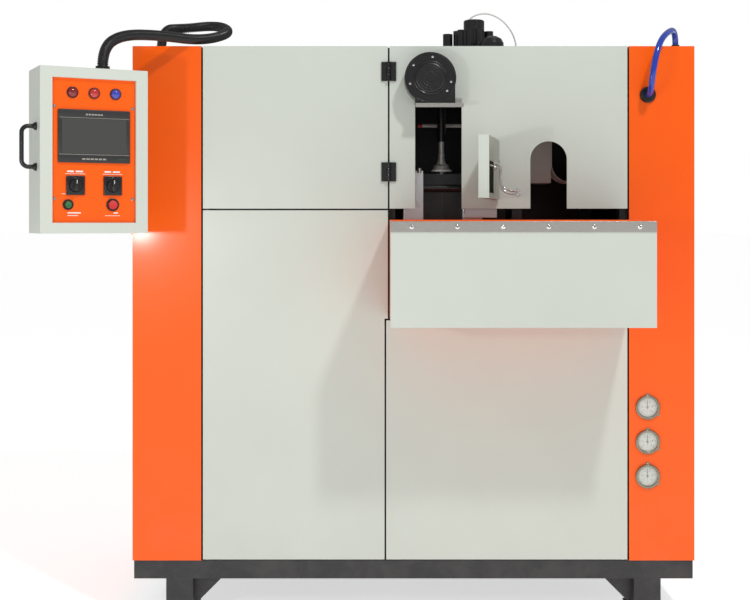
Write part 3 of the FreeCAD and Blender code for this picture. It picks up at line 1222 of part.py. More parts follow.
def build_regulators():
    """The air unit on the roof: plate, lobed body, side valve, filter, dome, the knob and a thin gauge tube."""
    x, y = "regulator_x", f"({FRONT} + regulator_y)"
    plate = box(
        f"{x} - manifold_length / 2", f"{y} - manifold_width / 2 + 10", TOP, "manifold_length",
        "manifold_width", "manifold_height")
    low = f"({TOP} + manifold_height)"
    lobes = [cylinder(x, y, low, "regulator_radius * 0.8", "regulator_height")]
    for i in range(8):
        angle = math.radians(45 * i)
        lobes.append(cylinder(
            f"{x} + regulator_radius * 0.78 * {math.cos(angle):.5f}",
            f"{y} + regulator_radius * 0.78 * {math.sin(angle):.5f}", low, "regulator_radius * 0.22",
            "regulator_height"))
    spindle = cylinder(f"{x} + 16", y, low, "6", "regulator_height + knob_height / 2")
    side = cylinder(f"{x} - side_x", y, low, "side_radius", "side_height")
    block = cylinder(f"{x} + filter_x", f"{y} + 20", low, "filter_radius", "filter_height")
    dome = place(group(revolve("dome", [
        ("0", "0"), ("dome_radius", "0"), ("dome_radius", "dome_height - 22"),
        ("dome_radius * 0.8", "dome_height - 8"), ("dome_radius * 0.4", "dome_height"), ("0", "dome_height"),
    ])), f"{x} + 66", f"{y} - dome_y", TOP)
    inlet = cylinder(f"{x} - 4", f"{y} + 42", low, "stub_radius", "regulator_height + 10")
    foot = cylinder(f"{x} + 156", f"{y} + 34", TOP, "stub_radius", "stub_height")
    finish("regulator_bodies", group(fuse(plate, *lobes, spindle, side, block, inlet), dome, foot))

    knob = revolve("knob", [
        ("6 + pin_clearance", "knob_gap"), ("knob_radius", "knob_gap"), ("knob_radius", "knob_height - 3"),
        ("knob_radius - 3", "knob_height"), ("0", "knob_height"), ("0", "knob_height / 2 + 1"),
        ("6 + pin_clearance", "knob_height / 2 + 1"),
    ])
    groove = new_sketch(knob, "XY_Plane", "knob_height")
    draw_circle(groove, "knob_radius", "0", "knob_groove / 2")
    first = pocket(knob, groove, "knob_height * 0.7", backwards=True)
    ring = knob.newObject("PartDesign::PolarPattern", unique("flutes"))
    ring.Originals = [first]
    ring.Axis = (groove, ["N_Axis"])
    ring.Angle = 360
    ring.Occurrences = 12
    knob.Tip = ring
    doc.recompute()
    finish("regulator_knob", place(group(knob), f"{x} + 16", y, f"{low} + regulator_height"))

    start = Vector(number(f"{x} - 4"), number(f"{y} + 42"), number(f"{low} + regulator_height + 10"))
    end = Vector(number(f"{x} + 156"), number(f"{y} + 34"), number(f"{TOP} + stub_height"))
    points = [
        start, start + Vector(0, 0, 26), start + Vector(24, 0, 49), start + Vector(67, -1, 56),
        start + Vector(111, -3, 36), start + Vector(144, -5, -2), end + Vector(0, 0, 33), end,
    ]
    finish("gauge_tube", tube_along("gauge_tube", points, number("tube_radius")))


# ---------------------------------------------------------------- blow head and clamp


def build_blow_head():
    """The stretch cylinder under the beam, the blow nozzle that slides in it and the stretch rod inside both."""
    x, y = "station_x", HEAD_Y
    block_low = f"({POST_TOP} - head_block_height)"
    block = box(
        f"{x} - head_block / 2", f"{y} - head_block / 2", block_low, "head_block", "head_block",
        "head_block_height")
    barrel = cylinder(x, y, f"{block_low} - barrel_length", "barrel_radius", "barrel_length + 1")
    bore = cylinder(
        x, y, f"{block_low} - barrel_length - 1", "shaft_radius + fit_clearance",
        "barrel_length + head_block_height / 2")
    finish("stretch_cylinder", cut(fuse(block, barrel), bore))
    nozzle = revolve("nozzle", [
        ("nozzle_bore", "bell_bottom - 20"), ("11", "bell_bottom - 20"), ("11", "bell_bottom"),
        ("bell_radius", "bell_bottom"), ("bell_radius", "bell_bottom + flange_height"),
        ("bell_radius * 0.62", "bell_bottom + flange_height + 12"), ("bell_radius * 0.4", "bell_bottom + 44"),
        ("shaft_radius + 2", "bell_bottom + 56"), ("shaft_radius", "bell_bottom + 60"),
        ("shaft_radius", "bell_bottom + 200"), ("nozzle_bore", "bell_bottom + 200"),
    ])
    finish("blow_nozzle", place(group(nozzle), x, y, "0"))
    rod = revolve("rod", [
        ("0", "bell_bottom - 12"), ("stretch_radius - 2", "bell_bottom - 12"),
        ("stretch_radius", "bell_bottom - 8"),
        ("stretch_radius", "bell_bottom - 12 + stretch_length"), ("0", "bell_bottom - 12 + stretch_length"),
    ])
    finish("stretch_rod", place(group(rod), x, y, "0"))


def tie_places():
    return [
        (f"({HEAD_Y} + {side} * tie_spread_y)", height)
        for side in (-1, 1) for height in ("tie_low", "tie_high")
    ]


RAM_Z = "((tie_low + tie_high) / 2)"


def build_clamp():
    """The clamp: bed, end plates, tie bars and ram bodies stay; each platen carries its rod and half a mould."""
    bed = box(
        f"{MID_SEAM} - tube_size / 2", f"{FRONT} + bed_front", "low_rail + tube_size",
        f"{RIGHT_SEAM} - {MID_SEAM} + tube_size", "bed_width", "bed_plate")
    pieces = [bed]
    plate_low, plate_high = BED_TOP, "(tie_high + 40)"
    face = {-1: "(station_x - mould_thick - platen_thick)", 1: "(station_x + mould_thick + platen_thick)"}
    for side in (-1, 1):
        near = f"({face[side]} + {side} * clamp_room)"
        low_x = near if side > 0 else f"({near} - end_plate)"
        plate = box(
            low_x, f"{HEAD_Y} - platen_width / 2", plate_low, "end_plate", "platen_width",
            f"{plate_high} - {plate_low}")
        ram_x = f"({low_x} + end_plate)" if side > 0 else f"({low_x} - ram_length)"
        body = cylinder(ram_x, HEAD_Y, RAM_Z, "ram_body", "ram_length", "x")
        bore = cylinder(
            f"{ram_x} - end_plate - 1" if side > 0 else f"{ram_x} + 10", HEAD_Y, RAM_Z,
            "ram_radius + fit_clearance", "ram_length + end_plate - 9", "x")
        pieces.append(cut(fuse(plate, body), bore))
    outer_left = f"({face[-1]} - clamp_room)"
    outer_right = f"({face[1]} + clamp_room)"
    for y, z in tie_places():
        pieces.append(cylinder(outer_left, y, z, "tie_radius", f"{outer_right} - {outer_left}", "x"))
    finish("clamp_frame", group(*pieces))

    for name, side in (("platen_left", -1), ("platen_right", 1)):
        low_x = "(station_x - mould_thick - platen_thick)" if side < 0 else "(station_x + mould_thick)"
        plate = box(
            low_x, f"{HEAD_Y} - platen_width / 2", f"{BED_TOP} + 0.4", "platen_thick", "platen_width",
            f"platen_top - {BED_TOP} - 0.4")
        stroke = "(clamp_room + end_plate + 30)"
        rod_x = f"({low_x} - {stroke})" if side < 0 else f"({low_x} + platen_thick)"
        rod = cylinder(rod_x, HEAD_Y, RAM_Z, "ram_radius", stroke, "x")
        extra = []
        if side > 0:
            block = box(
                "station_x + valve_x", f"{HEAD_Y} - platen_width / 2 - valve_depth", "valve_low",
                "valve_width",
                "valve_depth", "platen_top - valve_low")
            ports = [
                cylinder(
                    f"station_x + valve_x + valve_width * {part}",
                    f"{HEAD_Y} - platen_width / 2 - valve_depth - 1",
                    f"valve_low + {height}", "7", "12", "y")
                for part in (0.3, 0.7) for height in (35, 75, 115)
            ]
            extra.append(cut(block, *ports))
        else:
            extra.append(cylinder(f"{low_x} + platen_thick - 12", f"{HEAD_Y} - 88", "platen_top", "7", "14"))
        bores = [
            cylinder(f"{low_x} - 1", y, z, "tie_radius + fit_clearance", "platen_thick + 2", "x")
            for y, z in tie_places()
        ]
        finish(name, cut(fuse(plate, rod, *extra), *bores))

    cavity = revolve("cavity", [
        ("0", "cavity_low"), ("bottle_radius", "cavity_low"), ("bottle_radius", "cavity_low + bottle_height"),
        ("neck_radius", "cavity_low + bottle_height + shoulder"), ("neck_radius", "mould_height + 1"),
        ("0", "mould_height + 1"),
    ])
    spot = place(group(cavity), "station_x", HEAD_Y, f"{BED_TOP} + mould_low")
    for name, side in (("mould_half_left", -1), ("mould_half_right", 1)):
        low_x = "(station_x - mould_thick)" if side < 0 else "station_x"
        block = box(
            low_x, f"{HEAD_Y} - mould_width / 2", f"{BED_TOP} + mould_low", "mould_thick", "mould_width",
            "mould_height")
        finish(name, cut(block, spot))


# ---------------------------------------------------------------- sensor, oven and discharge


def build_inside():
    """The preform sensor on its hanger, the heating oven in the left bay and the discharge column and chute."""
    hanger = box(
        "hanger_x", HEAD_Y, "sensor_high - 25", "hanger_plate", "sensor_y - station_y + 25",
        f"{POST_TOP} - sensor_high + 25")
    rod = cylinder(
        "sensor_left", f"{FRONT} + sensor_y", "sensor_high", "sensor_radius",
        "hanger_x + 20 - sensor_left", "x")
    finish("sensor_rod", fuse(hanger, rod))

    floor_z = f"({SPLIT} + tube_size / 2)"
    left = "(0 - oven_left)"
    floor = box(
        f"{LEFT_SEAM} - tube_size / 2", f"{FRONT} + oven_front", floor_z,
        f"oven_length - oven_left + 1.5 * tube_size - {LEFT_SEAM}", "oven_depth", "oven_plate")
    back = box(
        left, f"{FRONT} + oven_front + oven_depth - oven_plate", floor_z, "oven_length", "oven_plate",
        "oven_height")
    top = box(
        left, f"{FRONT} + oven_front", f"{floor_z} + oven_height - oven_plate", "oven_length", "oven_depth",
        "oven_plate")
    cheeks = [
        box(x, f"{FRONT} + oven_front", floor_z, "oven_plate", "oven_depth", "oven_height")
        for x in (left, f"({left} + oven_length - oven_plate)")
    ]
    finish("oven_reflector", fuse(floor, back, top, *cheeks))
    lamps = [
        cylinder(
            f"{left} + oven_plate", f"{FRONT} + oven_front + oven_depth - 40",
            f"{floor_z} + 40 + {i} * lamp_pitch_z",
            "lamp_tube", "oven_length - 2 * oven_plate", "x")
        for i in range(SIZES["lamp_count"])
    ]
    finish("oven_lamps", group(*lamps))

    column = box(
        "column_x", HEAD_Y, "column_low", "column_width", "column_depth", f"{POST_TOP} - column_low")
    body = new_body("chute")
    profile = new_sketch(body, "XZ_Plane", f"0 - {HEAD_Y}")
    wall = "(column_x + column_width)"
    inner = f"({wall} + chute_plate)"
    mid_x, mid_z = f"({wall} + chute_bend)", "(column_low + chute_bend)"
    draw_outline(profile, [
        (wall, "chute_top"), (wall, mid_z), (mid_x, "column_low"), (f"{mid_x} + chute_run", "column_low"),
        (f"{mid_x} + chute_run", "column_low + chute_plate"), (mid_x, "column_low + chute_plate"),
        (inner, mid_z), (inner, "chute_top"),
    ], {1: (mid_x, mid_z, True), 5: (mid_x, mid_z, False)})
    pad(body, profile, "chute_width", backwards=True)
    finish("discharge_chute", fuse(column, body))


# ---------------------------------------------------------------- everything, checked and written


def build_all():
    members = build_legs() + build_base_rails() + build_posts_and_rails() + build_pivot_tabs()
    finish("machine_frame", group(*members))
    build_covers()
    build_roof()
    build_rear_cover()
    build_upper_front_panel()
    build_doors()
    build_hinges()
    build_tray()
    build_blower()
    build_gauges()
    build_hatch()
    build_arm()
    build_enclosure()
    build_pendant_panel()
    build_screen()
    build_controls()
    build_handle()
    build_glands()
    build_cords()
    build_regulators()
    build_blow_head()
    build_clamp()
    build_inside()


build_all()
doc.recompute()

for item in doc.Objects:
    if "Invalid" in item.State or "Error" in item.State:
        raise RuntimeError(f"{item.Name} ({item.Label}) is {item.State}")

os.makedirs("parts", exist_ok=True)
for name, item in parts.items():
    if item.Shape.isNull() or not item.Shape.isValid() or not item.Shape.Solids:
        raise RuntimeError(f"{name} has no sound shape")
    item.Shape.exportStep(f"parts/{name}.step")
    bounds = item.Shape.BoundBox
    print(
        f"{name}: {len(item.Shape.Solids)} solids, x {bounds.XMin:.1f} to {bounds.XMax:.1f},"
        f" y {bounds.YMin:.1f} to {bounds.YMax:.1f}, z {bounds.ZMin:.1f} to {bounds.ZMax:.1f}")
print(f"{len(parts)} sub-parts")
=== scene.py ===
import math
import bmesh
import bpy
from mathutils import Matrix, Vector


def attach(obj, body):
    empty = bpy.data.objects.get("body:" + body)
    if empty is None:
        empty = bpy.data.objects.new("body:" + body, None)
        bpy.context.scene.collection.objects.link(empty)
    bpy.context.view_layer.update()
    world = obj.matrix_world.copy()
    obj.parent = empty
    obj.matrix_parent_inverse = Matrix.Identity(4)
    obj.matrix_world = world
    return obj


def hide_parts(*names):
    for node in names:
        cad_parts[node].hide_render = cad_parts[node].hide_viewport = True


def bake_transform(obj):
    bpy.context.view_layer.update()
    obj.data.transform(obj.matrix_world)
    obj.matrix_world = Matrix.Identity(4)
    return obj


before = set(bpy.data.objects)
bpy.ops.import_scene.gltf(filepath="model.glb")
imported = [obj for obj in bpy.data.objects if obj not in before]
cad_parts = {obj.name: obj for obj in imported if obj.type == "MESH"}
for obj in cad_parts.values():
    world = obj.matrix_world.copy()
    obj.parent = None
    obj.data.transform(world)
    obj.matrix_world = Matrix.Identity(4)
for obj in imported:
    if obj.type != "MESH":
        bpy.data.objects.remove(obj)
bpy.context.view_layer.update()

# ---------------------------------------------------------------- node groups


def new_group(name, outputs, inputs=()):
    group = bpy.data.node_groups.new(name, "ShaderNodeTree")
    for label, kind, value in inputs:
        socket = group.interface.new_socket(label, in_out="INPUT", socket_type=kind)
        socket.default_value = value
    for label, kind in outputs:
        group.interface.new_socket(label, in_out="OUTPUT", socket_type=kind)
    return group, Tree(group)


class Tree:
    """Adds nodes to a tree, wiring keyword inputs as they come."""

    def __init__(self, tree):
        self.tree = tree

    def add(self, kind, inputs=None, **settings):
        node = self.tree.nodes.new("ShaderNode" + kind)
        for key, value in settings.items():
            setattr(node, key, value)
        for key, value in (inputs or {}).items():
            if isinstance(value, bpy.types.NodeSocket):
                self.tree.links.new(value, node.inputs[key])
            else:
                node.inputs[key].default_value = value
        return node

    def math(self, operation, a, b=0.0, clamp=False):
        node = self.add("Math", {0: a, 1: b}, operation=operation, use_clamp=clamp)
        return node.outputs[0]

    def ramp(self, value, low, high, to_low=0.0, to_high=1.0):
        node = self.add("MapRange", {0: value, 1: low, 2: high, 3: to_low, 4: to_high})
        return node.outputs[0]


def object_place(t):
    return t.add("TexCoord").outputs["Object"]


def make_surface_group():
    """Shared surface: slow tone drift, fine grain, dust low down and on ledges, edges lightened partly as wear and
    partly as painted highlight, and a normal.
    """
    group, t = new_group(
        "surface",
        [("Tone", "NodeSocketFloat"), ("Grain", "NodeSocketFloat"), ("Dust", "NodeSocketFloat"),
         ("Edge", "NodeSocketFloat"), ("Normal", "NodeSocketVector")],
        [("Scale", "NodeSocketFloat", 300.0), ("Relief", "NodeSocketFloat", 0.05),
         ("Round", "NodeSocketFloat", 0.0012)])
    entry = group.nodes.new("NodeGroupInput")
    leave = group.nodes.new("NodeGroupOutput")
    place = object_place(t)
    drift = t.add("TexNoise", {"Vector": place, "Scale": 2.3, "Detail": 3.0, "Roughness": 0.6})
    grain = t.add("TexNoise", {"Vector": place, "Scale": entry.outputs["Scale"], "Detail": 2.0, "Roughness": 0.5})
    smear = t.add("TexNoise", {"Vector": place, "Scale": 11.0, "Detail": 5.0, "Roughness": 0.65, "Distortion": 0.4})
    soft = t.add("Bevel", {"Radius": entry.outputs["Round"]}, samples=6)
    raw = t.add("NewGeometry")
    alike = t.add("VectorMath", {0: soft.outputs[0], 1: raw.outputs["Normal"]}, operation="DOT_PRODUCT")
    edge = t.ramp(alike.outputs["Value"], 0.999, 0.80)
    broken = t.ramp(smear.outputs["Fac"], 0.42, 0.66)
    upward = t.add("SeparateXYZ", {0: raw.outputs["Normal"]}).outputs["Z"]
    ledge = t.ramp(upward, 0.3, 1.0, 0.0, 0.55)
    height = t.add("SeparateXYZ", {0: place}).outputs["Z"]
    low = t.ramp(height, 0.55, 0.10, 0.0, 0.4)
    dust = t.math("MULTIPLY", t.math("ADD", ledge, low), broken, clamp=True)
    bump = t.add(
        "Bump", {"Height": grain.outputs["Fac"], "Normal": soft.outputs[0], "Strength": entry.outputs["Relief"],
                 "Distance": 0.0006})
    for label, socket in (("Tone", drift.outputs["Fac"]), ("Grain", grain.outputs["Fac"]), ("Dust", dust),
                          ("Edge", t.math("MULTIPLY", edge, broken)), ("Normal", bump.outputs[0])):
        group.links.new(socket, leave.inputs[label])
    return group


surface_group = make_surface_group()


CABINET_MIDDLE = (0.0, 0.0, 0.95)
# Near-black painted shade for the sheet faces inside the cabinet, where little light reaches.
INSIDE_SHADE = (0.012, 0.012, 0.012, 1)


def inward_mask(t):
    """1 on the sheet faces that look towards the cabinet's middle, which get painted shade standing in for the dark
    inside, and 0 outside.
    """
    inward = t.add("VectorMath", {0: CABINET_MIDDLE, 1: object_place(t)}, operation="SUBTRACT")
    way = t.add("VectorMath", {0: inward.outputs[0]}, operation="NORMALIZE")
    normal = t.add("VectorTransform", {0: t.add("NewGeometry").outputs["Normal"]}, vector_type="NORMAL",
                   convert_from="WORLD", convert_to="OBJECT")
    facing_in = t.add("VectorMath", {0: way.outputs[0], 1: normal.outputs[0]}, operation="DOT_PRODUCT")
    return t.ramp(facing_in.outputs["Value"], 0.05, 0.12)


DUST_COLOR = (0.42, 0.39, 0.34, 1)


def new_material(name, color, rough=0.4, metallic=0.0, scale=300.0, relief=0.05, rounding=0.0012, drift=0.06,
                 dust=0.25, edge=0.15, edge_color=None, grain_rough=0.08, shade_inside=False, **sockets):
    """A node material: the base colour varied by tone, by lighter edges that are partly wear and partly painted
    highlight, and by dust, the roughness by grain and dust.

    With the inside-shading keyword set, the faces that look into the cabinet get painted shade, a near-black colour
    standing in for the dark inside. Other keywords set the shader's own sockets.
    """
    made = bpy.data.materials.new(name)
    made.use_nodes = True
    t = Tree(made.node_tree)
    shader = made.node_tree.nodes["Principled BSDF"]
    surface = t.add("Group", node_tree=surface_group)
    surface.inputs["Scale"].default_value = scale
    surface.inputs["Relief"].default_value = relief
    surface.inputs["Round"].default_value = rounding
    dark = tuple(c * (1 - drift) for c in color) + (1,)
    light = tuple(min(1, c * (1 + drift)) for c in color) + (1,)
    tone = t.add("Mix", {0: t.ramp(surface.outputs["Tone"], 0.3, 0.7), 6: dark, 7: light}, data_type="RGBA")
    # Painted highlight and wear: edges are mixed towards a lighter colour.
    brighter = edge_color or tuple(min(1, c * 1.25 + 0.03) for c in color)
    edge_wear_and_highlight = t.add(
        "Mix", {0: t.math("MULTIPLY", surface.outputs["Edge"], edge), 6: tone.outputs[2], 7: (*brighter, 1)},
        data_type="RGBA")
    dusty = t.add(
        "Mix", {0: t.math("MULTIPLY", surface.outputs["Dust"], dust), 6: edge_wear_and_highlight.outputs[2], 7: DUST_COLOR},
        data_type="RGBA")
    # Painted shade: faces that look into the cabinet are turned near-black.
    if shade_inside:
        dusty = t.add("Mix", {0: inward_mask(t), 6: dusty.outputs[2], 7: INSIDE_SHADE}, data_type="RGBA")
    made.node_tree.links.new(dusty.outputs[2], shader.inputs["Base Color"])
    roughness = t.math("ADD", t.ramp(surface.outputs["Grain"], 0.3, 0.7, rough - grain_rough, rough + grain_rough),
                       t.math("MULTIPLY", surface.outputs["Dust"], dust * 0.6), clamp=True)
    made.node_tree.links.new(roughness, shader.inputs["Roughness"])
    made.node_tree.links.new(surface.outputs["Normal"], shader.inputs["Normal"])
    shader.inputs["Metallic"].default_value = metallic
    for key, value in sockets.items():
        shader.inputs[key.replace("_", " ")].default_value = value
    return made


def brushed(name, color, rough, direction, **extra):
    """Metal with fine lines along one axis, numbered 0 to 2."""
    made = new_material(name, color, rough, 1.0, **extra)
    t = Tree(made.node_tree)
    shader = made.node_tree.nodes["Principled BSDF"]
    stretch = [900.0, 900.0, 900.0]
    stretch[direction] = 6.0
    lines = t.add("VectorMath", {0: object_place(t), 1: stretch}, operation="MULTIPLY")
    noise = t.add("TexNoise", {"Vector": lines.outputs[0], "Scale": 1.0, "Detail": 2.0})
    surface = next(n for n in made.node_tree.nodes if n.type == "GROUP")
    bump = t.add("Bump", {"Height": noise.outputs["Fac"], "Normal": surface.outputs["Normal"], "Strength": 0.12,
                          "Distance": 0.0004})
    made.node_tree.links.new(bump.outputs[0], shader.inputs["Normal"])
    return made


# Each finish's edge and edge colour set the lighter colour at its edges, which is partly wear and partly painted
# highlight.
PALE = dict(color=(0.600, 0.645, 0.580), rough=0.36, scale=520, relief=0.10, drift=0.025, dust=0.10,
            grain_rough=0.05, Coat_Weight=0.15, Coat_Roughness=0.2)
ORANGE = dict(color=(1.0, 0.118, 0.002), rough=0.30, scale=520, relief=0.10, drift=0.04, dust=0.10,
              grain_rough=0.05, edge_color=(1.0, 0.30, 0.08), Specular_IOR_Level=0.22, Coat_Weight=0.3,
              Coat_Roughness=0.12)
LENS = dict(rough=0.12, relief=0.0, dust=0.05, scale=60, Coat_Weight=0.8, Coat_Roughness=0.04)

FINISHES = {
    "pale": new_material("pale_paint", **PALE),
    "orange": new_material("orange_paint", **ORANGE),
    # The shell finishes add painted shade on their inside faces.
    "pale_shell": new_material("pale_shell", shade_inside=True, **PALE),
    "orange_shell": new_material("orange_shell", shade_inside=True, **ORANGE),
    "base": new_material("base_paint", (0.022, 0.023, 0.025), 0.42, scale=420, relief=0.2, dust=0.15),
    "inner": new_material("inner_paint", (0.74, 0.76, 0.69), 0.5, scale=300, relief=0.2, dust=0.6),
    "black": new_material("black_plastic", (0.008, 0.008, 0.009), 0.30, scale=900, relief=0.25, dust=0.2,
                          rounding=0.0018, edge=0.5, edge_color=(0.06, 0.06, 0.06)),
    "black_metal": new_material("black_metal", (0.009, 0.009, 0.0095), 0.26, 0.0, scale=500, relief=0.15, dust=0.15,
                                rounding=0.0015, edge=0.7, edge_color=(0.10, 0.10, 0.10)),
    "rubber": new_material("hose_rubber", (0.006, 0.006, 0.0065), 0.30, scale=700, relief=0.2, dust=0.12,
                           edge=0.0, rounding=0.0004),
    "blue": new_material("blue_tube", (0.006, 0.045, 0.42), 0.16, scale=300, relief=0.02, dust=0.1, rounding=0.0003,
                         Coat_Weight=0.5, Coat_Roughness=0.05),
    "white": new_material("white_plastic", (0.78, 0.78, 0.75), 0.35, scale=500, relief=0.08, dust=0.2),
    "chrome": new_material("chrome", (0.72, 0.72, 0.72), 0.12, 1.0, scale=200, relief=0.02, drift=0.05, dust=0.2,
                           rounding=0.0008, grain_rough=0.03),
    "satin": new_material("satin_steel", (0.62, 0.62, 0.58), 0.42, 0.55, scale=500, relief=0.1, dust=0.1, edge=0.5,
                          edge_color=(0.8, 0.8, 0.78)),
    "steel": brushed("turned_steel", (0.48, 0.47, 0.45), 0.30, 0, dust=0.3, drift=0.1),
    "stainless": brushed("stainless", (0.50, 0.485, 0.45), 0.33, 0, dust=0.25, drift=0.06),
    "alu": brushed("aluminium", (0.66, 0.66, 0.66), 0.36, 2, dust=0.25, drift=0.05),
    "mould": new_material("mould_alloy", (0.010, 0.010, 0.0105), 0.32, 0.2, scale=600, relief=0.1, edge=0.8,
                          edge_color=(0.30, 0.30, 0.30), dust=0.2),
    "dial": new_material("dial_face", (0.72, 0.74, 0.66), 0.5, scale=900, relief=0.02, dust=0.0, drift=0.02),
    "rim": new_material("gauge_rim", (0.27, 0.255, 0.19), 0.26, 0.9, scale=300, relief=0.05, dust=0.2, drift=0.1),
    "screen": new_material("screen_glass", (0.055, 0.056, 0.052), 0.10, scale=100, relief=0.0, dust=0.0, drift=0.02,
                           grain_rough=0.02, Coat_Weight=0.6, Coat_Roughness=0.03),
    "bezel": new_material("screen_bezel", (0.026, 0.026, 0.027), 0.35, scale=800, relief=0.2, dust=0.1),
    "grey_print": new_material("grey_print", (0.33, 0.31, 0.27), 0.5, relief=0.0, dust=0.0),
    "white_print": new_material("white_print", (0.82, 0.82, 0.78), 0.5, relief=0.0, dust=0.0, edge=0.0),
    "black_print": new_material("black_print", (0.012, 0.012, 0.012), 0.55, relief=0.0, dust=0.0, edge=0.0),
    "lamp_red": new_material("lamp_red", (0.20, 0.006, 0.008), **LENS),
    "lamp_bright": new_material("lamp_bright", (0.50, 0.020, 0.020), **LENS),
    "lamp_blue": new_material("lamp_blue", (0.035, 0.05, 0.42), **LENS),
    "green": new_material("green_cap", (0.015, 0.16, 0.045), 0.25, relief=0.02, dust=0.05, Coat_Weight=0.4),
    "red": new_material("red_cap", (0.62, 0.025, 0.03), 0.25, relief=0.02, dust=0.05, Coat_Weight=0.4),
    "glow": new_material("quartz_lamp", (0.75, 0.70, 0.62), 0.15, relief=0.0, dust=0.1),
}


def make_glass():
    """The gauges' windows: clear, with faint smears in the gloss."""
    made = bpy.data.materials.new("gauge_glass")
    made.use_nodes = True
    t = Tree(made.node_tree)
    shader = made.node_tree.nodes["Principled BSDF"]
    noise = t.add("TexNoise", {"Vector": object_place(t), "Scale": 60.0, "Detail": 4.0})
    made.node_tree.links.new(t.ramp(noise.outputs["Fac"], 0.35, 0.75, 0.02, 0.10), shader.inputs["Roughness"])
    shader.inputs["Base Color"].default_value = (0.95, 1.0, 0.97, 1)
    shader.inputs["Alpha"].default_value = 0.18
    shader.inputs["Coat Weight"].default_value = 0.5
    return made


FINISHES["glass"] = make_glass()

CAD_FINISH = {
    "pale": "tray_apron hatch_door pendant_enclosure",
    "pale_shell": "roof_panel rear_cover upper_front_panel upper_left_door lower_left_door lower_right_door",
    "orange": "catch_tray pendant_arm pendant_panel",
    "orange_shell": "left_side_cover right_side_cover",
    "base": "machine_frame",
    "inner": "discharge_chute",
    "stainless": "blower_shelf tray_strip hatch_lining oven_reflector",
    "steel": "front_screws hinge_pins panel_screws",
    "black_metal": "clamp_frame blower_housing blower_wheel hinge_leaves_fixed hinge_leaves_door regulator_bodies"
                   " stretch_cylinder gauge_needle_1 gauge_needle_2 gauge_needle_3",
    "black": "blower_motor cable_glands pendant_gland pendant_handle switch_bezels selector_left selector_right"
             " regulator_knob",
    "rim": "gauge_cases",
    "dial": "gauge_dials",
    "glass": "gauge_windows",
    "bezel": "hmi_terminal",
    "lamp_red": "pilot_lamps",
    "green": "start_button",
    "red": "stop_button",
    "chrome": "guide_rod stretch_rod blow_nozzle",
    "alu": "platen_left platen_right",
    "mould": "mould_half_left mould_half_right",
    "white": "sensor_rod",
    "glow": "oven_lamps",
}


def paint_cad_nodes():
    for finish, names in CAD_FINISH.items():
        for name in names.split():
            node = bpy.data.objects[name]
            node.data.materials.clear()
            node.data.materials.append(FINISHES[finish])


paint_cad_nodes()

# ---------------------------------------------------------------- mesh helpers

collection = bpy.context.scene.collection


def piece(name, bm, finish, body, angle=35):
    """A new object from a bmesh, shaded smooth but for its sharp edges, riding on a body if one is named."""
    mesh = bpy.data.meshes.new(name)
    bmesh.ops.recalc_face_normals(bm, faces=bm.faces)
    bm.to_mesh(mesh)
    bm.free()
    mesh.shade_smooth()
    mesh.set_sharp_from_angle(angle=math.radians(angle))
    made = bpy.data.objects.new(name, mesh)
    collection.objects.link(made)
    for key in [finish] if isinstance(finish, str) else finish:
        mesh.materials.append(FINISHES[key])
    if body:
        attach(made, body)
    return made


def bevel(bm, edges, size, segments=3):
    bmesh.ops.bevel(bm, geom=list(edges), offset=size, segments=segments, profile=0.5, affect="EDGES", material=-1)


def add_block(bm, low, high, edge=0.0, segments=2, at=None, material=0):
    """A block between two corners with rounded edges, set by a matrix."""
    low, high = Vector(low), Vector(high)
    size = high - low
    place = Matrix.Translation((low + high) / 2) @ Matrix.Diagonal((*size, 1))
    part = bmesh.new()
    bmesh.ops.create_cube(part, size=1, matrix=place)
    if edge:
        bevel(part, part.edges, edge, segments)
    merge(bm, part, at, material)


def merge(bm, part, at=None, material=0):
    """Adds one bmesh to another."""
    if at is not None:
        bmesh.ops.transform(part, matrix=at, verts=part.verts)
    for face in part.faces:
        face.material_index = material
    mesh = bpy.data.meshes.new("scratch")
    part.to_mesh(mesh)
    part.free()
    bm.from_mesh(mesh)
    bpy.data.meshes.remove(mesh)


def add_turned(bm, profile, at=None, steps=48, material=0):
    """A turned body about +Z from (radius, height) pairs."""
    part = bmesh.new()
    points = [part.verts.new((r, 0, z)) for r, z in profile]
    edges = [part.edges.new(pair) for pair in zip(points, points[1:])]
    bmesh.ops.spin(part, geom=points + edges, axis=(0, 0, 1), cent=(0, 0, 0), angle=2 * math.pi, steps=steps,
                   use_merge=True)
    bmesh.ops.remove_doubles(part, verts=part.verts, dist=1e-6)
    merge(bm, part, at, material)


FORWARD = Matrix.Rotation(math.radians(90), 4, "X")


def facing(x, y, z):
    """A place whose +Z points out of the front, with +Y up."""
    return Matrix.Translation((x, y, z)) @ FORWARD


def route(points):
    """The NURBS line through a cord's control points."""
    curve = bpy.data.curves.new("route", "CURVE")
    curve.dimensions = "3D"
    curve.resolution_u = 24
    spline = curve.splines.new("NURBS")
    spline.points.add(len(points) - 1)
    for point, at in zip(spline.points, points):
        point.co = (*at, 1)
    spline.order_u = 3
    spline.use_endpoint_u = True
    return curve


def line_of(points):
    """The points that a route's NURBS line passes."""
    curve = route(points)
    holder = bpy.data.objects.new("route", curve)
    mesh = bpy.data.meshes.new_from_object(holder)
    line = [v.co.copy() for v in mesh.vertices]
    bpy.data.objects.remove(holder)
    bpy.data.curves.remove(curve)
    bpy.data.meshes.remove(mesh)
    return line


def length_of(line):
    return sum((b - a).length for a, b in zip(line, line[1:]))


def stations(line, step):
    """Evenly spaced places on a line: point and direction."""
    total = length_of(line)
    count = round(total / step)
    result, index, done = [], 0, 0.0
    for k in range(count + 1):
        want = total * k / count
        while index < len(line) - 2 and done + (line[index + 1] - line[index]).length < want:
            done += (line[index + 1] - line[index]).length
            index += 1
        a, b = line[index], line[index + 1]
        share = min(1.0, (want - done) / max(1e-9, (b - a).length))
        result.append((a.lerp(b, share), (b - a).normalized()))
    return result


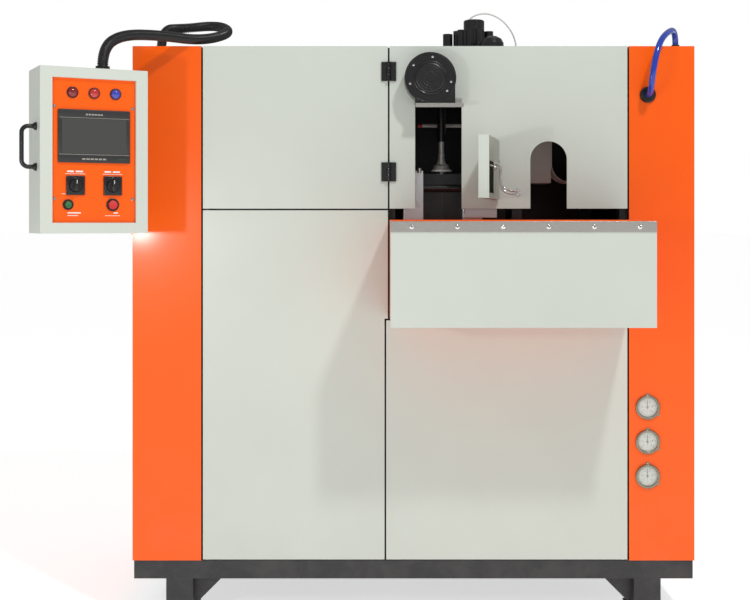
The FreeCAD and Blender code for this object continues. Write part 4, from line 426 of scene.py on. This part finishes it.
def add_swept(bm, line, step, radius_at, sides=24, material=0):
    """A tube along a line, its radius a function of the station's number."""
    places = stations(line, step)
    side = places[0][1].orthogonal().normalized()
    rings = []
    for k, (point, way) in enumerate(places):
        side = (side - way * side.dot(way)).normalized()
        turn = Matrix((side, way.cross(side), way)).transposed().to_4x4()
        ring = bmesh.ops.create_circle(
            bm, cap_ends=k in (0, len(places) - 1), segments=sides, radius=radius_at(k),
            matrix=Matrix.Translation(point) @ turn)
        rings.append(ring["verts"])
    for low, high in zip(rings, rings[1:]):
        for i in range(sides):
            j = (i + 1) % sides
            bm.faces.new((low[i], low[j], high[j], high[i])).material_index = material


# ---------------------------------------------------------------- cords

HOSE = [(-0.8732, -0.6508, 1.620), (-0.8732, -0.6508, 1.672), (-0.8312, -0.6028, 1.716), (-0.746, -0.498, 1.731),
        (-0.638, -0.366, 1.733), (-0.562, -0.230, 1.778), (-0.618, -0.098, 1.824), (-0.742, -0.066, 1.818),
        (-0.795, -0.165, 1.800), (-0.795, -0.165, 1.727)]
AIR = [(0.700, -0.409, 1.567), (0.700, -0.441, 1.567), (0.698, -0.467, 1.603), (0.706, -0.469, 1.660),
       (0.723, -0.452, 1.715), (0.753, -0.412, 1.751), (0.799, -0.335, 1.775), (0.799, -0.335, 1.725)]
TUBE = [(0.181, -0.108, 1.806), (0.181, -0.108, 1.832), (0.205, -0.108, 1.855), (0.248, -0.109, 1.862),
        (0.292, -0.111, 1.842), (0.325, -0.113, 1.804), (0.341, -0.116, 1.760), (0.341, -0.116, 1.727)]


HOSE_RIB = (0.0155, 0.0155, 0.0152, 0.0138, 0.0136, 0.0138, 0.0152)
HOSE_STEP, HOSE_DIAMETER = 0.0009, 0.031


def build_cords():
    """The corrugated hose and the two smooth tubes."""
    line = line_of(HOSE)
    bm = bmesh.new()
    add_swept(bm, line, HOSE_STEP, lambda k: HOSE_RIB[k % len(HOSE_RIB)], 22)
    hose = piece("corrugated_hose", bm, "rubber", None, angle=60)
    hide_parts("control_hose")
    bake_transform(hose)
    for name, points, radius, finish, slot, node, stiffness in (
            ("air_line", AIR, 0.009, "blue", "blue_tube", "air_hose", "medium"),
            ("sense_tube", TUBE, 0.0025, "white", "white_plastic", "gauge_tube", "stiff")):
        line = line_of(points)
        bm = bmesh.new()
        add_swept(bm, line, radius * 0.45, lambda k: radius, 20)
        made = piece(name, bm, finish, "machine", angle=60)
        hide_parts(node)


build_cords()

# ---------------------------------------------------------------- pendant

PENDANT = Matrix.Translation((-0.957, -0.570, 0)) @ Matrix.Rotation(math.radians(27), 4, "Z")
PANEL_Y, PENDANT_LOW = -0.165, 1.156
LAMP_HIGH, SCREEN_HIGH, HANDLE_HIGH, SWITCH_HIGH, BUTTON_HIGH = 0.382, 0.264, 0.235, 0.130, 0.078
LAMP_PITCH, SWITCH_SIDE = 0.059, 0.051
START_X, START_RADIUS = -0.071, 0.012
STOP_X, STOP_RADIUS = 0.051, 0.015


def on_panel(x, high, out=0.0):
    """A place on the control panel, +Z out of it and +Y up."""
    return PENDANT @ Matrix.Translation((x, PANEL_Y - out, PENDANT_LOW + high)) @ FORWARD


def ring_profile(inner, outer, height, edge=0.0004):
    return [(inner, 0), (outer, 0), (outer, height - edge), (outer - edge, height), (inner + edge, height),
            (inner, height - edge), (inner, 0)]


def dome_profile(radius, base, rise, steps=7):
    """A domed cap: a straight wall, then an arc to the middle."""
    points = [(0, base - 0.004), (radius, base - 0.004), (radius, base)]
    for k in range(1, steps + 1):
        angle = math.pi / 2 * k / steps
        points.append((radius * math.cos(angle) if k < steps else 0, base + rise * math.sin(angle)))
    return points


def build_lamps():
    """Three domed pilot lamps with ribbed skirts in black rings."""
    bm = bmesh.new()
    for number, x in enumerate((-LAMP_PITCH, 0, LAMP_PITCH)):
        place = on_panel(x, LAMP_HIGH)
        add_turned(bm, ring_profile(0.0115, 0.0155, 0.004), place, 40, 3)
        add_turned(bm, dome_profile(0.0125, 0.005, 0.007), place, 40, number)
        for k in range(24):
            turn = Matrix.Rotation(math.tau * k / 24, 4, "Z")
            add_block(bm, (0.0122, -0.0006, 0.0005), (0.0130, 0.0006, 0.0065), 0, 1, place @ turn, number)
    made = piece("lamp_caps", bm, ("lamp_red", "lamp_bright", "lamp_blue", "black_metal"), "pendant")
    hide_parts("pilot_lamps")


def build_buttons():
    """The dished caps of the green start button and the red stop button."""
    for name, node, body, finish, x, radius in (
            ("start_cap", "start_button", "start", "green", START_X, START_RADIUS),
            ("stop_cap", "stop_button", "stop", "red", STOP_X, STOP_RADIUS)):
        place = on_panel(x, BUTTON_HIGH)
        bm = bmesh.new()
        profile = [(0, -0.002), (0.0065, -0.002), (0.0065, 0.004), (radius - 0.0035, 0.004),
                   (radius - 0.0030, 0.0080), (radius - 0.0038, 0.0090), (radius - 0.0065, 0.0087), (0, 0.0083)]
        add_turned(bm, profile, place, 44)
        made = piece(name, bm, finish, body)
        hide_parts(node)


def build_panel_plates():
    """Bezels of the buttons and switches, with the printed marks beside them."""
    bm = bmesh.new()
    for x, radius in ((START_X, START_RADIUS), (STOP_X, STOP_RADIUS)):
        add_turned(bm, ring_profile(radius - 0.002, radius + 0.0025, 0.004), on_panel(x, BUTTON_HIGH), 44, 1)
    for side in (-1, 1):
        place = on_panel(side * SWITCH_SIDE, SWITCH_HIGH)
        add_block(bm, (-0.025, -0.026, 0), (0.025, 0.026, 0.006), 0.0012, 3, place, 0)
        add_turned(bm, ring_profile(0.0180, 0.0205, 0.0068), place, 48, 0)
        for x, y in ((-0.021, -0.022), (0.021, -0.022), (-0.021, 0.022), (0.021, 0.022)):
            add_turned(bm, [(0, 0.0055), (0.0014, 0.0055), (0.0014, 0.0066), (0.0009, 0.0069), (0, 0.0069)],
                       place @ Matrix.Translation((x, y, 0)), 12, 1)
    made = piece("switch_plates", bm, ("black", "black_metal"), "pendant")
    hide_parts("switch_bezels")

    bm = bmesh.new()
    marks = []
    for side in (-1, 1):
        x = side * SWITCH_SIDE
        marks += [(x - 0.027, 0.161, x + 0.027, 0.1625), (x - 0.022, 0.166, x - 0.004, 0.1705),
                  (x + 0.001, 0.166, x + 0.021, 0.1705)]
    marks += [(-0.072, 0.054, -0.036, 0.0575), (-0.072, 0.0475, -0.044, 0.0495), (0.030, 0.0475, 0.072, 0.0490),
              (0.054, 0.054, 0.066, 0.0575), (-0.088, 0.1065, -0.060, 0.1078), (0.038, 0.1065, 0.066, 0.1078)]
    for x0, z0, x1, z1 in marks:
        add_block(bm, (x0, z0, -0.0002), (x1, z1, 0.0003), 0, 1, on_panel(0, 0))
    piece("panel_marks", bm, "white_print", "pendant")


def build_selectors():
    """The two rotary knobs, each with a white line on its bar."""
    for side, node, body in ((-1, "selector_left", "selector_l"), (1, "selector_right", "selector_r")):
        place = on_panel(side * SWITCH_SIDE, SWITCH_HIGH)
        bm = bmesh.new()
        add_turned(bm, [(0, 0.0065), (0.0165, 0.0065), (0.0170, 0.0075), (0.0165, 0.0115), (0.0155, 0.0125),
                        (0, 0.0125)], place, 48)
        add_block(bm, (-0.0045, -0.0155, 0.0120), (0.0045, 0.0155, 0.0215), 0.0014, 3, place)
        add_block(bm, (-0.0008, 0.0050, 0.0214), (0.0008, 0.0145, 0.0217), 0, 1, place, 1)
        made = piece(f"knob_{body}", bm, ("black", "white_print"), body)
        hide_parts(node)


def build_terminal():
    """The operator screen: a rounded bezel with two thin lines, a recessed glass and two rows of printed marks."""
    low, high, half = SCREEN_HIGH - 0.072, SCREEN_HIGH + 0.072, 0.0985
    bm = bmesh.new()
    add_block(bm, (-half, low, -0.001), (half, low + 0.022, 0.007), 0.0016, 3, on_panel(0, 0))
    add_block(bm, (-half, high - 0.022, -0.001), (half, high, 0.007), 0.0016, 3, on_panel(0, 0))
    for side in (-1, 1):
        x = sorted((side * half, side * (half - 0.010)))
        add_block(bm, (x[0], low + 0.020, -0.001), (x[1], high - 0.020, 0.007), 0.0016, 3, on_panel(0, 0))
    add_block(bm, (-half + 0.009, low + 0.021, 0.0), (half - 0.009, high - 0.021, 0.0055), 0, 1, on_panel(0, 0), 1)
    for z in (low + 0.0215, high - 0.0228):
        add_block(bm, (-half + 0.003, z, 0.0068), (half - 0.003, z + 0.0011, 0.0073), 0, 1, on_panel(0, 0), 2)
    for z, wide in ((low + 0.010, 0.034), (high - 0.0130, 0.024)):
        for k in range(6):
            x = -wide + 2 * wide * k / 6
            add_block(bm, (x, z - 0.002, 0.0068), (x + wide / 3.8, z + 0.002, 0.0072), 0, 1, on_panel(0, 0), 2)
    for k in range(5):
        x = half - 0.030 + 0.0042 * k
        add_block(bm, (x, low + 0.0095, 0.0068), (x + 0.002, low + 0.0115, 0.0072), 0, 1, on_panel(0, 0), 3)
    made = piece("operator_screen", bm, ("bezel", "screen", "grey_print", "green"), "pendant")
    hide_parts("hmi_terminal")


def build_enclosure_extras():
    """The box's two hinge barrels and the collars at the handle's feet."""
    bm = bmesh.new()
    for z in (1.230, 1.540):
        add_turned(bm, ring_profile(0.0, 0.0042, 0.060), PENDANT @ Matrix.Translation((0.1478, -0.150, z)), 20, 0)
    for high in (HANDLE_HIGH - 0.055, HANDLE_HIGH + 0.055):
        place = PENDANT @ Matrix.Translation((-0.1475, -0.128, PENDANT_LOW + high)) @ Matrix.Rotation(
            math.radians(-90), 4, "Y")
        add_turned(bm, [(0.0062, 0.0038), (0.0100, 0.0038), (0.0085, 0.0080), (0.0066, 0.0095), (0.0062, 0.0095)],
                   place, 32, 1)
    piece("box_fittings", bm, ("pale", "black"), "pendant")


# ---------------------------------------------------------------- gauges


def text_mesh(text, size):
    """Plain numbers as a flat mesh lying on z = 0, centred."""
    curve = bpy.data.curves.new("number", "FONT")
    curve.body = text
    curve.size = size
    curve.align_x = "CENTER"
    curve.align_y = "CENTER"
    curve.resolution_u = 2
    curve.extrude = 0.00012
    holder = bpy.data.objects.new("number", curve)
    mesh = bpy.data.meshes.new_from_object(holder)
    bpy.data.objects.remove(holder)
    bpy.data.curves.remove(curve)
    part = bmesh.new()
    part.from_mesh(mesh)
    bpy.data.meshes.remove(mesh)
    return part


GAUGE_X, DIAL_Y, GAUGE_HEIGHTS = 0.700, -0.396, (0.633, 0.530, 0.427)
SCALE_START, SCALE_SWEEP = 225, 270


def build_gauges():
    """Dial faces with 51 graduations, plain numbers from 0 to 10 and a short cross of lines."""
    faces = bmesh.new()
    for z in GAUGE_HEIGHTS:
        place = facing(GAUGE_X, DIAL_Y, z)
        add_turned(faces, [(0.0012, -0.0010), (0.0280, -0.0010), (0.0280, 0), (0.0012, 0), (0.0012, -0.0010)], place,
                   56, 0)
        for k in range(51):
            angle = math.radians(SCALE_START - SCALE_SWEEP * k / 50)
            long = k % 10 == 0
            turn = place @ Matrix.Rotation(angle, 4, "Z")
            add_block(faces, (0.0205 if long else 0.0228, -0.0006 if long else -0.0002, 0),
                      (0.0258, 0.0006 if long else 0.0002, 0.00022), 0, 1, turn, 1)
        for k in range(6):
            angle = math.radians(SCALE_START - SCALE_SWEEP * k / 5)
            spot = Matrix.Translation((0.0155 * math.cos(angle), 0.0155 * math.sin(angle), 0.0001))
            merge(faces, text_mesh(str(2 * k), 0.0072), place @ spot, 1)
        for turn in (0, math.pi / 2):
            for side in (-1, 1):
                add_block(faces, (side * 0.0125 - 0.006, -0.00025, 0), (side * 0.0125 + 0.006, 0.00025, 0.0002), 0, 1,
                          place @ Matrix.Rotation(turn, 4, "Z"), 1)
    made = piece("dial_faces", faces, ("dial", "black_print"), "machine")
    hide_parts("gauge_dials")


# ---------------------------------------------------------------- blower, station, tray and hatch


BLOWER_X, BLOWER_FACE, BLOWER_Z = 0.048, -0.462, 1.611
COVER_SCREW_CIRCLE = 0.062
NOZZLE_AXIS = Matrix.Translation((0.092, -0.240, 0))
BELL_LOW, BELL_BORE = 1.343, 0.00606
TRAY_SCREW_MIDDLE, TRAY_SCREW_PITCH, STRIP_FACE, STRIP_Z = 0.295, 0.124, -0.734, 1.174
HATCH_PIN = Matrix.Translation((0.251, -0.4105, 0)) @ Matrix.Rotation(math.radians(-102.5), 4, "Z")


def build_blower_extras():
    """Raised rims on the drum's face, and rings and ribs on the motor's cover."""
    bm = bmesh.new()
    place = facing(BLOWER_X, BLOWER_FACE, BLOWER_Z)
    add_turned(bm, [(0.0700, -0.0005), (0.0700, 0.0010), (0.0712, 0.0020), (0.0745, 0.0020), (0.0757, 0.0008),
                    (0.0757, -0.0005)], place, 96, 0)
    add_turned(bm, [(0.0452, -0.0005), (0.0452, 0.0030), (0.0470, 0.0038), (0.0500, 0.0030), (0.0512, -0.0005)],
               place, 80, 0)
    for radius in (0.0330, 0.0250, 0.0170):
        add_turned(bm, [(radius - 0.0012, 0.0065), (radius - 0.0008, 0.0076), (radius + 0.0008, 0.0076),
                        (radius + 0.0012, 0.0065)], place, 72, 0)
    for k in range(8):
        turn = place @ Matrix.Rotation(math.tau * k / 8, 4, "Z")
        add_block(bm, (0.0085, -0.0008, 0.0065), (0.0370, 0.0008, 0.0073), 0.0003, 1, turn, 0)
    piece("blower_rim", bm, "black_metal", "machine")


def build_nozzle():
    """The blow nozzle: stepped shaft, rounded bell and the pale seal along its mouth."""
    bm = bmesh.new()
    low, bore = BELL_LOW, BELL_BORE
    profile = [(bore, low - 0.020), (0.0100, low - 0.020), (0.0110, low - 0.019), (0.0110, low), (0.0320, low),
               (0.0330, low + 0.0010), (0.0330, low + 0.0060), (0.0310, low + 0.0072), (0.0285, low + 0.0072),
               (0.0275, low + 0.0085), (0.0262, low + 0.0150), (0.0235, low + 0.0200), (0.0190, low + 0.0235),
               (0.0165, low + 0.0245), (0.0165, low + 0.0275), (0.0135, low + 0.0285), (0.0135, low + 0.0330),
               (0.0115, low + 0.0340), (0.0115, low + 0.0400), (0.0100, low + 0.0410), (0.0100, low + 0.0560)]
    top = [(0.0085, low + 0.058), (0.0085, low + 0.200), (bore, low + 0.200), (bore, low - 0.020)]
    add_turned(bm, profile + top, NOZZLE_AXIS, 64, 0)
    add_turned(bm, [(0.0285, low + 0.0001), (0.0334, low + 0.0001), (0.0334, low + 0.0058), (0.0285, low + 0.0058)],
               NOZZLE_AXIS, 64, 1)
    made = piece("bell_nozzle", bm, ("satin", "white"), "nozzle")
    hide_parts("blow_nozzle")


def build_screws():
    """Pan-head screws along the strip, with a dark cross in each head, and the blower's small ones."""
    bm = bmesh.new()
    heads = [(TRAY_SCREW_MIDDLE + (i - 2.5) * TRAY_SCREW_PITCH, STRIP_FACE, STRIP_Z, 0.0065, 0.0035)
             for i in range(6)]
    for angle in (84, 143, 196, -38, -11):
        a = math.radians(angle)
        heads.append((BLOWER_X + COVER_SCREW_CIRCLE * math.cos(a), BLOWER_FACE,
                      BLOWER_Z + COVER_SCREW_CIRCLE * math.sin(a), 0.0035, 0.002))
    for number, (x, y, z, radius, height) in enumerate(heads):
        place = facing(x, y, z) @ Matrix.Rotation(number * 0.7, 4, "Z")
        cap = [(0, -0.002), (radius * 0.45, -0.002), (radius * 0.45, 0), (radius, 0), (radius, height * 0.35)]
        for k in range(1, 6):
            t = k / 5
            cap.append((radius * (1 - t * 0.72), height * (0.35 + 0.65 * math.sin(t * math.pi / 2))))
        cap += [(radius * 0.22, height * 0.62), (0, height * 0.55)]
        add_turned(bm, cap, place, 28, 0)
        for turn in (0, math.pi / 2):
            add_block(bm, (-radius * 0.42, -radius * 0.10, height * 0.80),
                      (radius * 0.42, radius * 0.10, height * 0.98), 0, 1, place @ Matrix.Rotation(turn, 4, "Z"), 1)
    made = piece("pan_screws", bm, ("chrome", "black_print"), "machine")
    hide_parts("front_screws")


def build_station_extras():
    """The sensor's red tip and the white stop on the left platen."""
    bm = bmesh.new()
    along = Matrix.Translation((0.0212, -0.150, 1.494)) @ Matrix.Rotation(math.radians(90), 4, "Y")
    add_turned(bm, [(0, 0), (0.0050, 0), (0.0062, 0.0012), (0.0062, 0.0120), (0.0057, 0.0130), (0.0057, 0.0140),
                    (0, 0.0140)], along, 32, 0)
    piece("sensor_tip", bm, "red", "machine")
    bm = bmesh.new()
    add_block(bm, (0.008, -0.3275, 1.3372), (0.0315, -0.3000, 1.3430), 0.0008, 2)
    piece("platen_stop", bm, "white", "clamp_left")


def build_guide_rod():
    """The hatch's guide: two thin bent rods, clipped at the top and held in a fork with two round nuts."""
    bm = bmesh.new()
    for shift in (0.0, 0.009):
        points = [(0.118 - shift, 0.0055, 1.355), (0.118 - shift, 0.0205, 1.3545), (0.118 - shift, 0.0225, 1.330),
                  (0.118 - shift, 0.0215, 1.300 + shift), (0.118 - shift, 0.026, 1.278 + shift),
                  (0.118 - shift, 0.050, 1.267 + shift), (0.118, 0.071, 1.2655 + shift)]
        line = [HATCH_PIN @ v for v in line_of(points)]
        add_swept(bm, line, 0.002, lambda k: 0.0026, 14)
    for z, length in ((1.2655, 0.010), (1.2790, 0.008)):
        place = HATCH_PIN @ Matrix.Translation((0.118, 0.0725, z)) @ Matrix.Rotation(math.radians(90), 4, "Y")
        add_turned(bm, [(0, -length), (0.0050, -length), (0.0060, -length + 0.001), (0.0060, length - 0.001),
                        (0.0050, length), (0, length)], place, 28)
    add_block(bm, (0.1155, 0.0690, 1.2600), (0.1205, 0.0735, 1.2840), 0.0008, 2, HATCH_PIN)
    for z in (1.355, 1.3435):
        place = HATCH_PIN @ Matrix.Translation((0.114, 0.0056, z)) @ Matrix.Rotation(math.radians(-90), 4, "X")
        add_turned(bm, [(0, 0), (0.0085, 0), (0.0085, 0.0012), (0.0048, 0.0016), (0.0048, 0.0060), (0.0035, 0.0070),
                        (0, 0.0070)], place, 28)
    made = piece("bent_guide", bm, "chrome", "hatch")
    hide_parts("guide_rod")


def build_details():
    build_station_extras()
    build_guide_rod()
    build_lamps()
    build_buttons()
    build_panel_plates()
    build_selectors()
    build_terminal()
    build_enclosure_extras()
    build_gauges()
    build_blower_extras()
    build_nozzle()
    build_screws()


build_details()

# ---------------------------------------------------------------- camera, floor and light

CAMERA_PLACE, CAMERA_LENS, CAMERA_SHIFT = (-0.115, -4.05, 1.187), 58.6, -0.104
ROOM_LIGHT, BACKDROP_LIGHT = 0.385, 1.0


def build_stage():
    """A level camera, a white floor and backdrop, a high key lamp and a small low one at the left."""
    scene = bpy.context.scene
    scene.view_settings.view_transform = "Standard"
    scene.render.film_transparent = False
    camera = bpy.data.objects.new("camera", bpy.data.cameras.new("camera"))
    collection.objects.link(camera)
    camera.location = CAMERA_PLACE
    camera.rotation_euler = (math.radians(90), 0, 0)
    camera.data.lens = CAMERA_LENS
    camera.data.sensor_width = 36
    camera.data.shift_y = CAMERA_SHIFT
    scene.camera = camera

    bm = bmesh.new()
    bmesh.ops.create_grid(bm, x_segments=2, y_segments=2, size=120)
    mesh = bpy.data.meshes.new("floor")
    bm.to_mesh(mesh)
    bm.free()
    floor = bpy.data.objects.new("floor", mesh)
    collection.objects.link(floor)
    mesh.materials.append(new_material(
        "floor_paint", (0.95, 0.95, 0.95), 0.7, scale=60, relief=0.02, drift=0.01, dust=0.0, edge=0.0,
        Emission_Color=(1, 1, 1, 1), Emission_Strength=0.62))

    world = bpy.data.worlds.new("studio")
    scene.world = world
    world.use_nodes = True
    t = Tree(world.node_tree)
    background = world.node_tree.nodes["Background"]
    background.inputs["Color"].default_value = (1, 1, 1, 1)
    seen = t.add("LightPath").outputs["Is Camera Ray"]
    world.node_tree.links.new(t.ramp(seen, 0, 1, ROOM_LIGHT, BACKDROP_LIGHT), background.inputs["Strength"])

    def lamp(name, place, target, size, power):
        light = bpy.data.lights.new(name, "AREA")
        light.shape = "DISK"
        light.size = size
        light.energy = power
        holder = bpy.data.objects.new(name, light)
        collection.objects.link(holder)
        holder.location = place
        holder.rotation_euler = (Vector(target) - Vector(place)).to_track_quat("-Z", "Y").to_euler()

    lamp("key", (1.39, -2.98, 4.6), (0.2, -0.5, 0.7), 0.34, 74)
    lamp("low_left", (-1.18, -2.3, 1.16), (-0.2, -0.45, 1.16), 0.10, 6.0)


build_stage()
